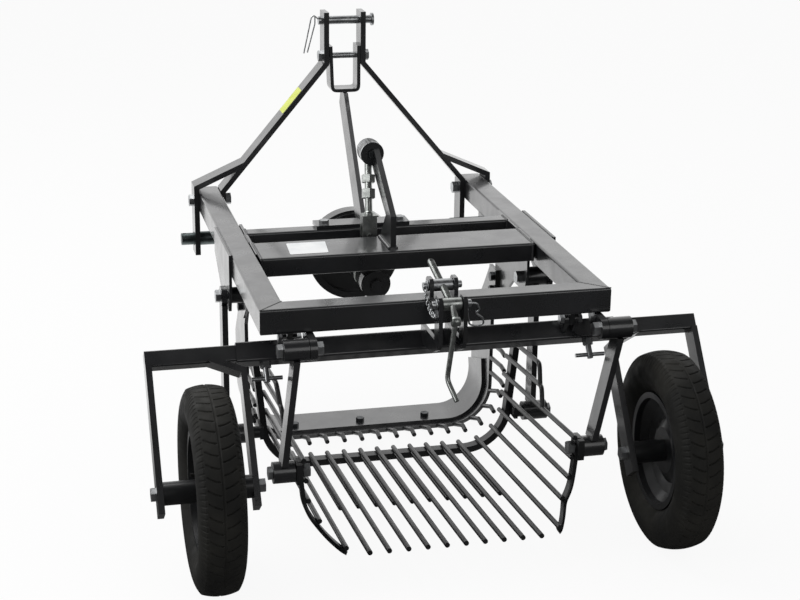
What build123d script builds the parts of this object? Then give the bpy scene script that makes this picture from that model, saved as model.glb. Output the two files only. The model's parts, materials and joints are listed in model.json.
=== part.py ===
# Tractor-mounted potato digger with an oscillating sieve.
# Datum while modelling: X right, Y forward (towards the tractor), Z up;
# X = 0 on the centre plane, Y = 0 at the back face of the rear frame tube, Z = 0 at the frame's top.
# Every piece is moved to the footprint's centre on the ground when it is written.
from build123d import *
import math
import os

# ---------------------------------------------------------------- frame
FRAME_W = 690.0          # over the rails
FRAME_L = 930.0          # rear tube's back face to the rails' front ends
TUBE = 50.0              # rail and rear tube section
WALL = 4.0
EDGE_R = 5.0             # rounded long edges of the square tubes
MID_Y = 324.0            # back face of the wide middle cross tube
MID_W = 120.0
CROSS_H = 40.0
FRONT_Y = 512.0          # back face of the front cross tube
FRONT_W = 40.0
SIDE_T = 6.0             # side plates on both faces of each rail
SIDE_Y0 = 360.0
SIDE_Y1 = 580.0
SIDE_DROP = 124.0        # how far the side plates hang below the frame's top
SEAT = 0.3               # gap of a piece seated on a curved or moving face
FIT = 0.08               # radial running fit of pins and bushes
CAP_T = 4.0              # end caps in the rails
HEX_10 = 17.0            # across flats of a 10 mm bolt's head and nut, and so on
HEX_12 = 19.0
HEX_14 = 22.0
HEX_16 = 24.0

# ---------------------------------------------------------------- headstock and hitch
BAR_T = 12.0             # flat bar of the A-frame
BAR_W = 50.0
MAST_Y = FRAME_L - BAR_W / 2  # middle plane of the headstock
EAR_X = 43.0             # middle of each ear
EAR_TOP = 408.0
EAR_BEND = 290.0
TOP_PIN_Z = 387.0
TOP_PIN_D = 19.0
EAR_BOLT_Z = 305.0
EAR_BOLT_D = 14.0
A_FOOT_Z = -2.0          # where the A-bars turn down beside the rails
HITCH_BOTTOM = -152.0
HITCH_PIN_Z = -118.0
HITCH_PIN_D = 28.0       # free end, for the lower link's ball
HITCH_SHANK_D = 32.0     # thicker part held by the bracket and the A-bar
HITCH_SHOULDER = 1.0     # which stands this far out of the bracket
HITCH_PIN_OUT = 30.0     # pin stands out of the outer bracket
LINCH_D = 8.0            # hole for a linch pin
LINCH_IN = 7.0           # from the pin's end
BRACKET_X = FRAME_W / 2 - 109.0  # outer bracket leaves the A-bar here
BRACKET_BEND_Z = 10.0
CLAMP_Z = -25.0
CLAMP_D = 16.0
YOKE_BAR_T = 8.0         # U strap between the ears
YOKE_TOP = 330.0
YOKE_BOTTOM = 222.0
BRACE_T = 10.0
BRACE_W = 40.0
BRACE_FOOT = (-35.0, 540.0)
FOOT_L = 206.0
FOOT_W = 48.0
FOOT_T = 8.0
FOOT_BOLT_X = 84.0       # each side of the foot plate's middle

# ---------------------------------------------------------------- drive
SHAFT_X = -32.0
SHAFT_Z = -95.0
SHAFT_D = 38.0
PTO_D = 35.0             # front end, for the cardan shaft
PTO_L = 90.0
SHAFT_Y1 = 760.0
FLY_R = 103.0            # flywheel
FLY_W = 40.0
FLY_Y = 620.0            # its back face
FLY_RIM = 16.0
FLY_RECESS = 14.0
FLY_HUB_R = 32.0
BEARING_R = 32.0
BEARING_T = 14.0
BEARING_REAR_Y = 410.0
BEARING_FRONT_Y = 524.0
POST_X = -10.0
POST_T = 12.0
POST_TOP = (528.0, 164.0)
POST_BUSH_R = 25.0
POST_BUSH_L = 44.0
STAY_D = 16.0
STAY_NUTS = ((117.0, 102.0), (89.0, 71.0))
STAY_NUT = 26.0          # across flats
FORK_W = 31.0            # fork at the stay's foot, over the ring's lug
FORK_T = 28.0
FORK_Z = (39.0, -18.0)
FORK_SLOT = 14.0
FORK_SLOT_Z = 14.0
LUG_TOP = 6.0
FORK_PIN_D = 12.0
FORK_PIN_Z = -5.0
RING_R = 31.0            # ring at the stay's foot, round the shaft
RING_W = 20.0
BOSS_OUT = 6.0           # bearing bosses stand out of their plates
COVER_T = 5.0            # cover over the rear bearing, with a bolt in its middle
COVER_BOLT = 24.0        # across flats
SPACER_R = 17.0          # spacer tube between the left side plates

# ---------------------------------------------------------------- share
SHARE_W = FRAME_W - 118.0  # over the U band
SHARE_T = 8.0
SHARE_R = 100.0          # outer corner radius
SHARE_BOTTOM = -514.0    # underside, level with the wheels' lowest point
SHARE_TOP = -132.0
SHARE_Y = 586.0          # band's back edge
SHARE_DEPTH = 108.0      # band width along Y at the bottom
LEG_DEPTH = 149.0        # and of the legs where they are widest
LEG_WIDE = (-290.0, -400.0)
LUG_BACK = 24.0          # the leg's top stands back from the band's back edge
LUG_W = 50.0
LUG_LOW = -185.0
LUG_SPREAD = 86.0        # leg's width at that height
LEG_BOLT_Z = (-150.0, -182.0)
LEG_BOLT_IN = 15.0       # bolts in front of the leg's back edge
LEG_BOLT_D = 12.0
LEG_PLATE_Y = 592.0      # front and bottom of the inner plates, where the legs are bolted on
LEG_PLATE_Z = -204.0
BLADE_BACK = 16.0        # blade's back edge in front of the band's
BLADE_W = 98.0
BLADE_T = 7.0
BLADE_TOP = -367.0
BLADE_FRONT_TOP = -402.0
BLADE_LEAN = 27.0        # its back edge stands this much further forward at its top
BLADE_BOLT_IN = 28.0     # bolts in front of the blade's back edge
BLADE_BOLT_D = 10.0
BLADE_BOLT_X = (-170.0, -16.0, 138.0)
TINE_D = 10.0
SHARE_TINE_PITCH = 40.0  # along the U, over its bottom and bends
SHARE_TINE_N = 8         # each side of the middle one
SHARE_TINE_REACH = 91.0
SHARE_TINE_RISE = 24.0
SIDE_TINE_T = 366.0      # first tine on a leg, along the U from its middle
SIDE_TINE_PITCH = 36.0
SIDE_TINE_N = 4
SIDE_TINE_REACH = 105.0
SIDE_TINE_RISE = 8.0
TIP_LEN = 25.0           # tines turn down over this last part
TIP_DROP = 3.0

# ---------------------------------------------------------------- sieve
SIEVE_Y = 427.0          # middle of the front hoop
HOOP_T = 14.0
HOOP_W = 24.0
SIEVE_HALF = FRAME_W / 2 - 90.0  # where the sides' lines meet the bottom's, on the rods' axes
SIEVE_SLOPE = 0.1        # sides spread outwards going up
SIEVE_BOTTOM = -489.0    # bottom rods' axis at the hoop
SIEVE_TOP = -261.0       # top rods' axis
SIEVE_R = 88.0
ROD_OVER = 4.0           # rods stand out in front of the hoop
TINE_TIP_Y = -159.0
SIEVE_RISE = 0.089       # rods rise towards the back
TINE_N = 10
TINE_PITCH = 37.4
SIDE_N = 7               # side rods on each side
SIDE_FIRST = 210.8       # from the middle of the U to the first side rod, along the U
SIDE_PITCH = 42.5
BEND_Y = (190.0, 222.0)  # where the two top rods turn down, lower one first
STIFF_L = 300.0          # doubling rods under the bottom tines
STRAP_W = 26.0
STRAP_T = 8.0
STRAP_LOW_Y = -133.0     # rear strap's lower end
PLATE_T = 4.0            # pivot plates stand out of the straps
PIVOT_W = 48.0
PIVOT_H = 44.0
GRIP = 0.3               # rods are ground flat by this much where they are welded on
STUB_R = 13.0

# ---------------------------------------------------------------- sieve links
LINK_T = 12.0
LINK_W = 40.0
BUSH_R = 21.0
PIN_D = 16.0
FRONT_PIVOT_Y = 398.0
FRONT_TOP_Z = -97.0
FRONT_LOW_Z = -409.0
REAR_PIVOT_Y = -28.0
REAR_TOP_Z = -72.0
REAR_LOW_Z = -316.0
REAR_TOP_XL = 62.0 - FRAME_W / 2
REAR_TOP_XR = FRAME_W / 2 + 7.0
REAR_BUSH_L = 48.0
REAR_LOW_L = 42.0        # bushes at the links' lower ends
FRONT_LOW_L = 54.0
BUSH_GAP = 1.0           # free play beside a bush
LOOSE_FIT = 0.3          # radial play in the three lower bushes that only follow
LINK_GAP = 1.5           # front left link beside its plate
STUB_END_L = FRAME_W / 2 - 30.0  # outer ends of the sieve's front stubs
STUB_END_R = FRAME_W / 2 - 45.0
BRACKET_T = 14.0

# ---------------------------------------------------------------- axle
AXLE_Y = 80.0
AXLE_Z = -113.0
AXLE_TUBE = 40.0
AXLE_WALL = 3.5
AXLE_HALF = FRAME_W / 2 + 36.0
HINGE_Y = 52.0
HINGE_Z = -76.0
HINGE_X = FRAME_W / 2 - 64.0
HINGE_PIN_D = 12.0
LUG_T = 10.0
LUG_R = 13.0
EAR_R = 12.0
ARM_TUBE = 32.0
ARM_IN = 150.0           # length of arm inside the beam
ARM_END = AXLE_HALF + 173.0
WHEEL_X = AXLE_HALF + 71.0
WHEEL_Y = -75.0
WHEEL_Z = -318.0
TYRE_D = 392.0
TYRE_W = 88.0
RIM_D = 216.0
RIM_W = 62.0
RIM_T = 4.0
FLANGE_H = 8.0
WELL_W = 14.0
WELL_H = 18.0
DISC_X = -5.0            # outer face of the disc's middle, from the rim's middle
TYRE_T = 7.0
TREAD_W = 66.0
CROWN = 6.0
LEG_T = 12.0
LEG_W = 40.0
LEG_OVER = 42.0          # legs run on below the axle
LEG_IN_X = AXLE_HALF - 11.0  # middle of the inner leg
LEG_OUT_X = AXLE_HALF + 167.0  # middle of the outer leg
LEG_START = AXLE_HALF + 61.0  # inner leg leaves the arm here
LEG_KNEE = 36.0          # and is straight from this far below the arm's axis
HUB_R = 22.0
AXLE_BOLT_D = 16.0
CLAMP_SCREW_X = AXLE_HALF - 56.0
CLAMP_SCREW_D = 12.0
CLAMP_SCREW_L = 38.0     # below the beam

# ---------------------------------------------------------------- depth screw
SCREW_X = 11.0
SCREW_D = 14.0
NUT_Y = 25.0
NUT_Z = 20.0
LOW_Y = -45.0
LOW_Z = 4.0
TRUN_T = 8.0
TRUN_GAP = 40.0          # between the trunnion plates
BLOCK_D = 24.0
TRUN_R = 16.0            # trunnion plates about their pivots
TRUN_PIN_D = 12.0
TRUN_PIN_IN = 7.0        # upper pins reach into the nut block
SCREW_FRONT = 104.0      # screw beyond the nut
SCREW_BACK = 34.0        # screw beyond the lower block
CRANK_DROP = 128.0
CRANK_D = 10.0
GRIP_L = 46.0


# ================================================================ helpers
def block(x0, x1, y0, y1, z0, z1):
    """Box between two corners."""
    middle = ((x0 + x1) / 2, (y0 + y1) / 2, (z0 + z1) / 2)
    return Pos(*middle) * Box(abs(x1 - x0), abs(y1 - y0), abs(z1 - z0))


def rod(start, end, radius):
    """Round bar between two points."""
    a = Vector(*start)
    b = Vector(*end)
    axis = b - a
    plane = Plane(origin=a, z_dir=axis)
    return plane * Cylinder(radius, axis.length, align=(Align.CENTER, Align.CENTER, Align.MIN))


def pipe(start, end, radius, bore):
    """Round tube between two points."""
    return rod(start, end, radius) - rod(start, end, bore)


def hexagon(start, end, flats):
    """Hexagon bar between two points, flats across."""
    a = Vector(*start)
    b = Vector(*end)
    axis = b - a
    plane = Plane(origin=a, z_dir=axis)
    return plane * extrude(RegularPolygon(flats / 2, 6, major_radius=False), axis.length)


def plate_x(points, x0, x1):
    """Plate whose outline is given in Y and Z."""
    outline = make_face(Polyline(*[(0, y, z) for y, z in points], close=True))
    return Pos(min(x0, x1), 0, 0) * extrude(outline, amount=abs(x1 - x0), dir=(1, 0, 0))


def plate_y(points, y0, y1):
    """Plate whose outline is given in X and Z."""
    outline = make_face(Polyline(*[(x, 0, z) for x, z in points], close=True))
    return Pos(0, min(y0, y1), 0) * extrude(outline, amount=abs(y1 - y0), dir=(0, 1, 0))


def strip(points, thickness):
    """Outline of a bar of even thickness along a line of points, as a closed list."""
    left = []
    right = []
    last = len(points) - 1
    for i, (x, z) in enumerate(points):
        x0, z0 = points[max(i - 1, 0)]
        x1, z1 = points[min(i + 1, last)]
        before = (x - x0, z - z0) if i > 0 else (x1 - x, z1 - z)
        after = (x1 - x, z1 - z) if i < last else before
        n0 = (-before[1] / math.hypot(*before), before[0] / math.hypot(*before))
        n1 = (-after[1] / math.hypot(*after), after[0] / math.hypot(*after))
        scale = thickness / 2 / (1 + n0[0] * n1[0] + n0[1] * n1[1])
        dx = (n0[0] + n1[0]) * scale
        dz = (n0[1] + n1[1]) * scale
        left.append((x + dx, z + dz))
        right.append((x - dx, z - dz))
    return left + right[::-1]


def cross_tube(x0, x1, y0, y1, z0, z1, wall):
    """Rectangular tube along X with rounded long edges."""
    solid = block(x0, x1, y0, y1, z0, z1)
    solid = fillet(solid.edges().filter_by(Axis.X), EDGE_R)
    return solid - block(x0, x1, y0 + wall, y1 - wall, z0 + wall, z1 - wall)


def mirrored(solid):
    """The same piece on the other side of the centre plane."""
    return mirror(solid, about=Plane.YZ)


def u_path(half, slope, bottom, top, radius):
    """Open U in X and Z: sides that lean by slope, round corners and a flat bottom."""
    spread = slope * (top - bottom)
    points = [(-half - spread, 0, top), (-half, 0, bottom), (half, 0, bottom), (half + spread, 0, top)]
    return FilletPolyline(*points, radius=radius)


def u_outside(half, slope, distance):
    """Half width, at its own bottom, of the U that lies this distance outside another."""
    return half + distance * (math.hypot(1, slope) - slope)


def u_band(half, slope, bottom, top, radius, thickness, y0, y1):
    """Band bent to a U; half, bottom and radius are those of its middle surface."""
    path = u_path(half, slope, bottom, top, radius)
    profile = Plane(path @ 0, x_dir=(0, 1, 0), z_dir=path @ 0.01 - path @ 0)
    section = profile * Rectangle(abs(y1 - y0), thickness)
    return Pos(0, (y0 + y1) / 2, 0) * sweep(section, path=path)


nodes = {}


def add(name, solid):
    """Put a solid into a node: fused with what it touches there, or beside it."""
    nodes[name] = nodes[name] + solid if name in nodes else solid


# ================================================================ frame
rail_half = FRAME_W / 2
rail_in = rail_half - TUBE
side_in = rail_in - SIDE_T
side_out = rail_half + SIDE_T


def rail(sign):
    """One side rail, mitred into the rear tube, with a cap in its front end."""
    outer = [(-rail_half, 0), (-rail_half, FRAME_L), (-rail_in, FRAME_L), (-rail_in, TUBE)]
    body = extrude(make_face(Polyline(*outer, close=True)), -TUBE)
    long_edges = body.edges().filter_by(Axis.Y)
    body = fillet(long_edges, EDGE_R)
    x_out = -rail_half + WALL
    x_in = -rail_in - WALL
    front = FRAME_L - CAP_T
    hollow = [(x_out, WALL), (x_out, front), (x_in, front), (x_in, TUBE - WALL)]
    cavity = Pos(0, 0, -WALL) * extrude(make_face(Polyline(*hollow, close=True)), -(TUBE - 2 * WALL))
    bolt_hole = rod((-rail_half - 1, MAST_Y, CLAMP_Z), (-rail_in + 1, MAST_Y, CLAMP_Z), CLAMP_D / 2)
    solid = body - cavity - bolt_hole
    return solid if sign < 0 else mirrored(solid)


nodes["rail_left"] = rail(-1)
nodes["rail_right"] = rail(1)

rear_outer = [(-rail_half, 0), (-rail_in, TUBE), (rail_in, TUBE), (rail_half, 0)]
rear = extrude(make_face(Polyline(*rear_outer, close=True)), -TUBE)
rear = fillet(rear.edges().filter_by(Axis.X), EDGE_R)
rear_hollow = [
    (-rail_half + WALL, WALL),
    (-rail_in - WALL, TUBE - WALL),
    (rail_in + WALL, TUBE - WALL),
    (rail_half - WALL, WALL),
]
rear_cavity = extrude(make_face(Polyline(*rear_hollow, close=True)), -(TUBE - 2 * WALL))
nodes["rear_tube"] = rear - Pos(0, 0, -WALL) * rear_cavity

mid_y1 = MID_Y + MID_W
nodes["middle_cross_tube"] = cross_tube(-side_in, side_in, MID_Y, mid_y1, -CROSS_H, 0, WALL)
nodes["front_cross_tube"] = cross_tube(-side_in, side_in, FRONT_Y, FRONT_Y + FRONT_W, -CROSS_H, 0, WALL)

# side plates: the outer one carries the front link's pivot, the inner one the share too
plate_back = [
    (FRONT_PIVOT_Y + 60, -SIDE_DROP),
    (SIDE_Y0 + 14, -SIDE_DROP),
    (SIDE_Y0, -TUBE - 30),
    (SIDE_Y0, 0),
]
outer_plate = plate_back + [(SIDE_Y1, 0), (SIDE_Y1, -TUBE - 4)]
leg_y0 = SHARE_Y - LUG_BACK
inner_plate = plate_back + [(LEG_PLATE_Y, 0), (LEG_PLATE_Y, LEG_PLATE_Z), (leg_y0 - 6, LEG_PLATE_Z)]
for side, outline, x0, x1 in (
    ("left", outer_plate, -side_out, -rail_half),
    ("left", inner_plate, -rail_in, -side_in),
    ("right", outer_plate, rail_half, side_out),
    ("right", inner_plate, side_in, rail_in),
):
    plate = plate_x(outline, x0, x1)
    pivot = rod((x0 - 1, FRONT_PIVOT_Y, FRONT_TOP_Z), (x1 + 1, FRONT_PIVOT_Y, FRONT_TOP_Z), PIN_D / 2)
    add("side_plates_" + side, plate - pivot)
spacer_ends = [(-x, FRONT_PIVOT_Y, FRONT_TOP_Z) for x in (rail_half, rail_in)]
add("side_plates_left", pipe(*spacer_ends, SPACER_R, PIN_D / 2))

# ================================================================ headstock
mast_y0 = MAST_Y - BAR_W / 2
mast_y1 = MAST_Y + BAR_W / 2
foot_x = rail_in - BAR_T / 2
a_line = [(-EAR_X, EAR_TOP), (-EAR_X, EAR_BEND), (-foot_x, A_FOOT_Z), (-foot_x, HITCH_BOTTOM)]
a_bar = plate_y(strip(a_line, BAR_T), mast_y0, mast_y1)
ear_in = EAR_X - BAR_T / 2
ear_out = EAR_X + BAR_T / 2
a_holes = [
    # x0, x1, z, diameter
    (-ear_out - 1, -ear_in + 1, TOP_PIN_Z, TOP_PIN_D + 2 * FIT),
    (-ear_out - 1, -ear_in + 1, EAR_BOLT_Z, EAR_BOLT_D),
    (-rail_in - 1, -rail_in + BAR_T + 1, CLAMP_Z, CLAMP_D),
    (-rail_in - 1, -rail_in + BAR_T + 1, HITCH_PIN_Z, HITCH_SHANK_D),
]
for x0, x1, z, d in a_holes:
    a_bar = a_bar - rod((x0, MAST_Y, z), (x1, MAST_Y, z), d / 2)
nodes["mast_bar_left"] = a_bar
nodes["mast_bar_right"] = mirrored(a_bar)

slope = (EAR_BEND - A_FOOT_Z) / (foot_x - EAR_X)
bracket_z = EAR_BEND - (BRACKET_X - EAR_X) * slope
out_x = rail_half + BAR_T / 2
b_line = [
    (-BRACKET_X, bracket_z),
    (-out_x, BRACKET_BEND_Z),
    (-out_x, HITCH_BOTTOM),
]
bracket = plate_y(strip(b_line, BAR_T), mast_y0, mast_y1) - a_bar
bracket = bracket - plate_y([(-EAR_X, EAR_BEND), (-foot_x, A_FOOT_Z), (0, A_FOOT_Z)], mast_y0 - 1, mast_y1 + 1)
for z, d in ((CLAMP_Z, CLAMP_D), (HITCH_PIN_Z, HITCH_SHANK_D)):
    bracket = bracket - rod((-out_x - BAR_T, MAST_Y, z), (-rail_half + 1, MAST_Y, z), d / 2)
bracket = bracket.solids().sort_by(SortBy.VOLUME)[-1]
nodes["hitch_brackets"] = bracket + mirrored(bracket)

# U strap between the ears
u_x = ear_in - YOKE_BAR_T / 2
u_line = [(-u_x, YOKE_TOP), (-u_x, YOKE_BOTTOM + YOKE_BAR_T / 2), (u_x, YOKE_BOTTOM + YOKE_BAR_T / 2), (u_x, YOKE_TOP)]
u_strap = plate_y(strip(u_line, YOKE_BAR_T), mast_y0, mast_y1)
u_strap = u_strap - rod((-ear_in - 1, MAST_Y, EAR_BOLT_Z), (ear_in + 1, MAST_Y, EAR_BOLT_Z), EAR_BOLT_D / 2)
nodes["mast_strap"] = u_strap

# top link pin with its head and linch pin, and the bolt under it
pin_x0 = -ear_out - 9
pin_x1 = ear_out + 17
top_pin = rod((pin_x0, MAST_Y, TOP_PIN_Z), (pin_x1, MAST_Y, TOP_PIN_Z), TOP_PIN_D / 2)
top_pin = top_pin + rod((pin_x1, MAST_Y, TOP_PIN_Z), (pin_x1 + 5, MAST_Y, TOP_PIN_Z), TOP_PIN_D / 2 + 5)
nodes["top_link_pin"] = top_pin
ear_bolt = rod((-ear_out, MAST_Y, EAR_BOLT_Z), (ear_out, MAST_Y, EAR_BOLT_Z), EAR_BOLT_D / 2)
ear_bolt = ear_bolt + hexagon((-ear_out - 10, MAST_Y, EAR_BOLT_Z), (-ear_out, MAST_Y, EAR_BOLT_Z), HEX_14)
ear_bolt = ear_bolt + hexagon((ear_out, MAST_Y, EAR_BOLT_Z), (ear_out + 11, MAST_Y, EAR_BOLT_Z), HEX_14)
add("headstock_bolts", ear_bolt)

# clamp bolts and lower hitch pins
clamp_out = rail_half + BAR_T
clamp_in = rail_in - BAR_T
for s in (-1, 1):
    shank = rod((s * clamp_in, MAST_Y, CLAMP_Z), (s * clamp_out, MAST_Y, CLAMP_Z), CLAMP_D / 2)
    head = hexagon((s * clamp_out, MAST_Y, CLAMP_Z), (s * (clamp_out + 10), MAST_Y, CLAMP_Z), HEX_16)
    nut = hexagon((s * clamp_in, MAST_Y, CLAMP_Z), (s * (clamp_in - 14), MAST_Y, CLAMP_Z), HEX_16)
    add("headstock_bolts", shank + head + nut)


def hitch_pin(sign):
    """Lower hitch pin through the bracket and the A-bar's foot."""
    inner = sign * (clamp_in - 16)
    outer = sign * (clamp_out + HITCH_PIN_OUT)
    shoulder = sign * (clamp_out + HITCH_SHOULDER)
    body = rod((inner, MAST_Y, HITCH_PIN_Z), (shoulder, MAST_Y, HITCH_PIN_Z), HITCH_SHANK_D / 2)
    body = body + rod((shoulder, MAST_Y, HITCH_PIN_Z), (outer, MAST_Y, HITCH_PIN_Z), HITCH_PIN_D / 2)
    hole_x = outer - sign * LINCH_IN
    hole_ends = [(hole_x, MAST_Y, HITCH_PIN_Z + side * HITCH_PIN_D) for side in (-1, 1)]
    hole = rod(*hole_ends, LINCH_D / 2)
    return body - hole


nodes["hitch_pins"] = hitch_pin(-1) + hitch_pin(1)

# back brace from the strap to the front cross tube
brace_x0, brace_y0 = BRACE_FOOT
foot_y0 = FRONT_Y + 4
foot_plate = block(brace_x0 - FOOT_L / 2, brace_x0 + FOOT_L / 2, foot_y0, foot_y0 + FOOT_W, 0, FOOT_T)
brace_line = [(brace_y0, FOOT_T), (mast_y1 - 22, YOKE_BOTTOM)]
run = brace_line[1][0] - brace_line[0][0]
rise = brace_line[1][1] - brace_line[0][1]
brace_len = math.hypot(run, rise)
lift = BRACE_W / 2 * brace_len / run
brace_outline = [
    (brace_y0 - BRACE_W * brace_len / rise / 2, FOOT_T),
    (brace_y0 + BRACE_W * brace_len / rise / 2, FOOT_T),
    (brace_line[1][0], YOKE_BOTTOM - lift),
    (brace_line[1][0], YOKE_BOTTOM),
    (brace_line[1][0] - lift * run / rise, YOKE_BOTTOM),
]
brace = plate_x(brace_outline, -BRACE_T / 2, BRACE_T / 2)
brace_bar = Pos(brace_x0 * 0.5, 0, 0) * brace
brace_body = brace_bar + foot_plate
for s in (-1, 1):
    x = brace_x0 + s * FOOT_BOLT_X
    y = FRONT_Y + FRONT_W / 2
    brace_body = brace_body - rod((x, y, -1), (x, y, FOOT_T + 1), 6)
nodes["mast_brace"] = brace_body
for s in (-1, 1):
    x = brace_x0 + s * FOOT_BOLT_X
    y = FRONT_Y + FRONT_W / 2
    foot_bolt = rod((x, y, -CROSS_H), (x, y, FOOT_T), 6)
    foot_bolt = foot_bolt + hexagon((x, y, FOOT_T), (x, y, FOOT_T + 9), HEX_12)
    foot_bolt = foot_bolt + hexagon((x, y, -CROSS_H - 10), (x, y, -CROSS_H), HEX_12)
    add("headstock_bolts", foot_bolt)
    for z0, z1 in ((-WALL - 1, 1), (-CROSS_H - 1, -CROSS_H + WALL + 1)):
        nodes["front_cross_tube"] = nodes["front_cross_tube"] - rod((x, y, z0), (x, y, z1), 6)

# ================================================================ share
share_half = SHARE_W / 2 - SHARE_T / 2
share_mid = SHARE_BOTTOM + SHARE_T / 2
share_slope = (side_in - SHARE_W / 2) / (SHARE_TOP - SHARE_BOTTOM)
leg_y1 = SHARE_Y + LEG_DEPTH
share_y1 = SHARE_Y + SHARE_DEPTH
u_share = u_band(share_half, share_slope, share_mid, SHARE_TOP, SHARE_R - SHARE_T / 2, SHARE_T, leg_y0, leg_y1)
leg_outline = [
    (leg_y0, SHARE_TOP + 1),
    (leg_y0 + LUG_W, SHARE_TOP + 1),
    (leg_y0 + LUG_W, SHARE_TOP - 6),
    (leg_y0 + LUG_SPREAD, LUG_LOW),
    (leg_y1, LEG_WIDE[0]),
    (leg_y1, LEG_WIDE[1]),
    (share_y1, SHARE_BOTTOM + SHARE_T),
    (share_y1, SHARE_BOTTOM - 1),
    (SHARE_Y, SHARE_BOTTOM - 1),
    (SHARE_Y, LEG_PLATE_Z - LUG_BACK),
    (leg_y0, LEG_PLATE_Z + LUG_BACK / 2),
]
share = u_share & plate_x(leg_outline, -SHARE_W, SHARE_W)

# blade: a second, lower U inside the front half of the band
blade_in = (SHARE_T + BLADE_T) / 2
blade_half = u_outside(share_half, share_slope, -blade_in)
blade_r = SHARE_R - SHARE_T - BLADE_T / 2
blade_y0 = SHARE_Y + BLADE_BACK
blade_y1 = blade_y0 + BLADE_W
blade = u_band(
    blade_half,
    share_slope,
    share_mid + blade_in,
    BLADE_TOP + 1,
    blade_r,
    BLADE_T,
    blade_y0,
    leg_y1 + 2,
)
blade_floor = SHARE_BOTTOM + SHARE_T + BLADE_T
blade_outline = [
    (blade_y0 + BLADE_LEAN, BLADE_TOP),
    (leg_y1 + 2, BLADE_FRONT_TOP),
    (blade_y1, blade_floor),
    (blade_y1, SHARE_BOTTOM),
    (blade_y0, SHARE_BOTTOM),
    (blade_y0, blade_floor),
]
blade = blade & plate_x(blade_outline, -SHARE_W, SHARE_W)
for x in BLADE_BOLT_X:
    y = blade_y0 + BLADE_BOLT_IN
    hole = rod((x, y, SHARE_BOTTOM - 1), (x, y, blade_floor + 1), BLADE_BOLT_D / 2)
    share = share - hole
    blade = blade - hole
    bolt = rod((x, y, SHARE_BOTTOM + 1), (x, y, blade_floor), BLADE_BOLT_D / 2)
    bolt = bolt + hexagon((x, y, blade_floor), (x, y, blade_floor + 8), HEX_10)
    add("share_bolts", bolt)
nodes["share_blade"] = blade

# bolts that hold the share's legs to the inner side plates
for s in (-1, 1):
    side = "left" if s < 0 else "right"
    y = leg_y0 + LEG_BOLT_IN
    for z in LEG_BOLT_Z:
        x0 = s * (share_half - SHARE_T / 2 + share_slope * (z - SHARE_BOTTOM))
        x1 = s * rail_in
        hole = rod((x0 - s * 3, y, z), (x1 + s, y, z), LEG_BOLT_D / 2)
        bolt = rod((x0, y, z), (x1, y, z), LEG_BOLT_D / 2)
        bolt = bolt + hexagon((x0 - s * 9, y, z), (x0 - s, y, z), HEX_12)
        bolt = bolt + rod((x0 - s * 2, y, z), (x0, y, z), LEG_BOLT_D / 2)
        bolt = bolt + hexagon((x1, y, z), (x1 + s * 9, y, z), HEX_12)
        add("share_bolts", bolt)
        share = share - hole
        nodes["side_plates_" + side] = nodes["side_plates_" + side] - hole
nodes["share_hoop"] = share

# short bent tines that lead the crop from the share onto the sieve
tine_r = TINE_D / 2
share_line = u_path(share_half, share_slope, share_mid, SHARE_TOP, SHARE_R - SHARE_T / 2)
share_rows = [
    # length along the U from its middle, reach, rise
    (i * SHARE_TINE_PITCH, SHARE_TINE_REACH, SHARE_TINE_RISE) for i in range(SHARE_TINE_N + 1)
] + [
    (SIDE_TINE_T + i * SIDE_TINE_PITCH, SIDE_TINE_REACH, SIDE_TINE_RISE) for i in range(SIDE_TINE_N)
]
for t, reach, rise in share_rows:
    for s in (-1, 1) if t > 0 else (1,):
        at = share_line.position_at(share_line.length / 2 + s * t, PositionMode.LENGTH)
        foot_z = max(at.Z, SHARE_BOTTOM + tine_r + SEAT)
        start = (at.X, SHARE_Y + SEAT, foot_z)
        knee = (at.X, SHARE_Y - reach + TIP_LEN, foot_z + rise)
        tip = (at.X, SHARE_Y - reach, foot_z + rise - TIP_DROP)
        tine = rod(start, knee, tine_r) + rod(knee, tip, tine_r) + Pos(*knee) * Sphere(tine_r)
        add("share_tines", tine - share)

# ================================================================ sieve
rod_r = TINE_D / 2
rod_line = u_path(SIEVE_HALF, SIEVE_SLOPE, SIEVE_BOTTOM, SIEVE_TOP, SIEVE_R)


def rod_at(t):
    """X and Z of the rods' U at the hoop, at a length from its middle, right side positive."""
    at = rod_line.position_at(rod_line.length / 2 + t, PositionMode.LENGTH)
    return at.X, at.Z


hoop_off = rod_r - GRIP + HOOP_T / 2
hoop_y0 = SIEVE_Y - HOOP_W / 2
hoop_y1 = SIEVE_Y + HOOP_W / 2
hoop = u_band(
    u_outside(SIEVE_HALF, SIEVE_SLOPE, hoop_off),
    SIEVE_SLOPE,
    SIEVE_BOTTOM - hoop_off,
    SIEVE_TOP + 6,
    SIEVE_R + hoop_off,
    HOOP_T,
    hoop_y0,
    hoop_y1,
)
sieve_front = hoop_y1 + ROD_OVER


def slanted(x, z, y0, y1):
    """Sieve rod through a point of the hoop, rising towards the back."""
    start = (x, y0, z - (y0 - SIEVE_Y) * SIEVE_RISE)
    end = (x, y1, z - (y1 - SIEVE_Y) * SIEVE_RISE)
    return rod(start, end, rod_r)


for i in range(TINE_N):
    x = (i - (TINE_N - 1) / 2) * TINE_PITCH
    tine = slanted(x, SIEVE_BOTTOM, sieve_front, TINE_TIP_Y)
    tine = tine + Pos(0, 0, 0.5 - TINE_D) * slanted(x, SIEVE_BOTTOM, hoop_y0 + rod_r, hoop_y0 - STIFF_L)
    add("sieve_tines", tine - hoop)

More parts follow.
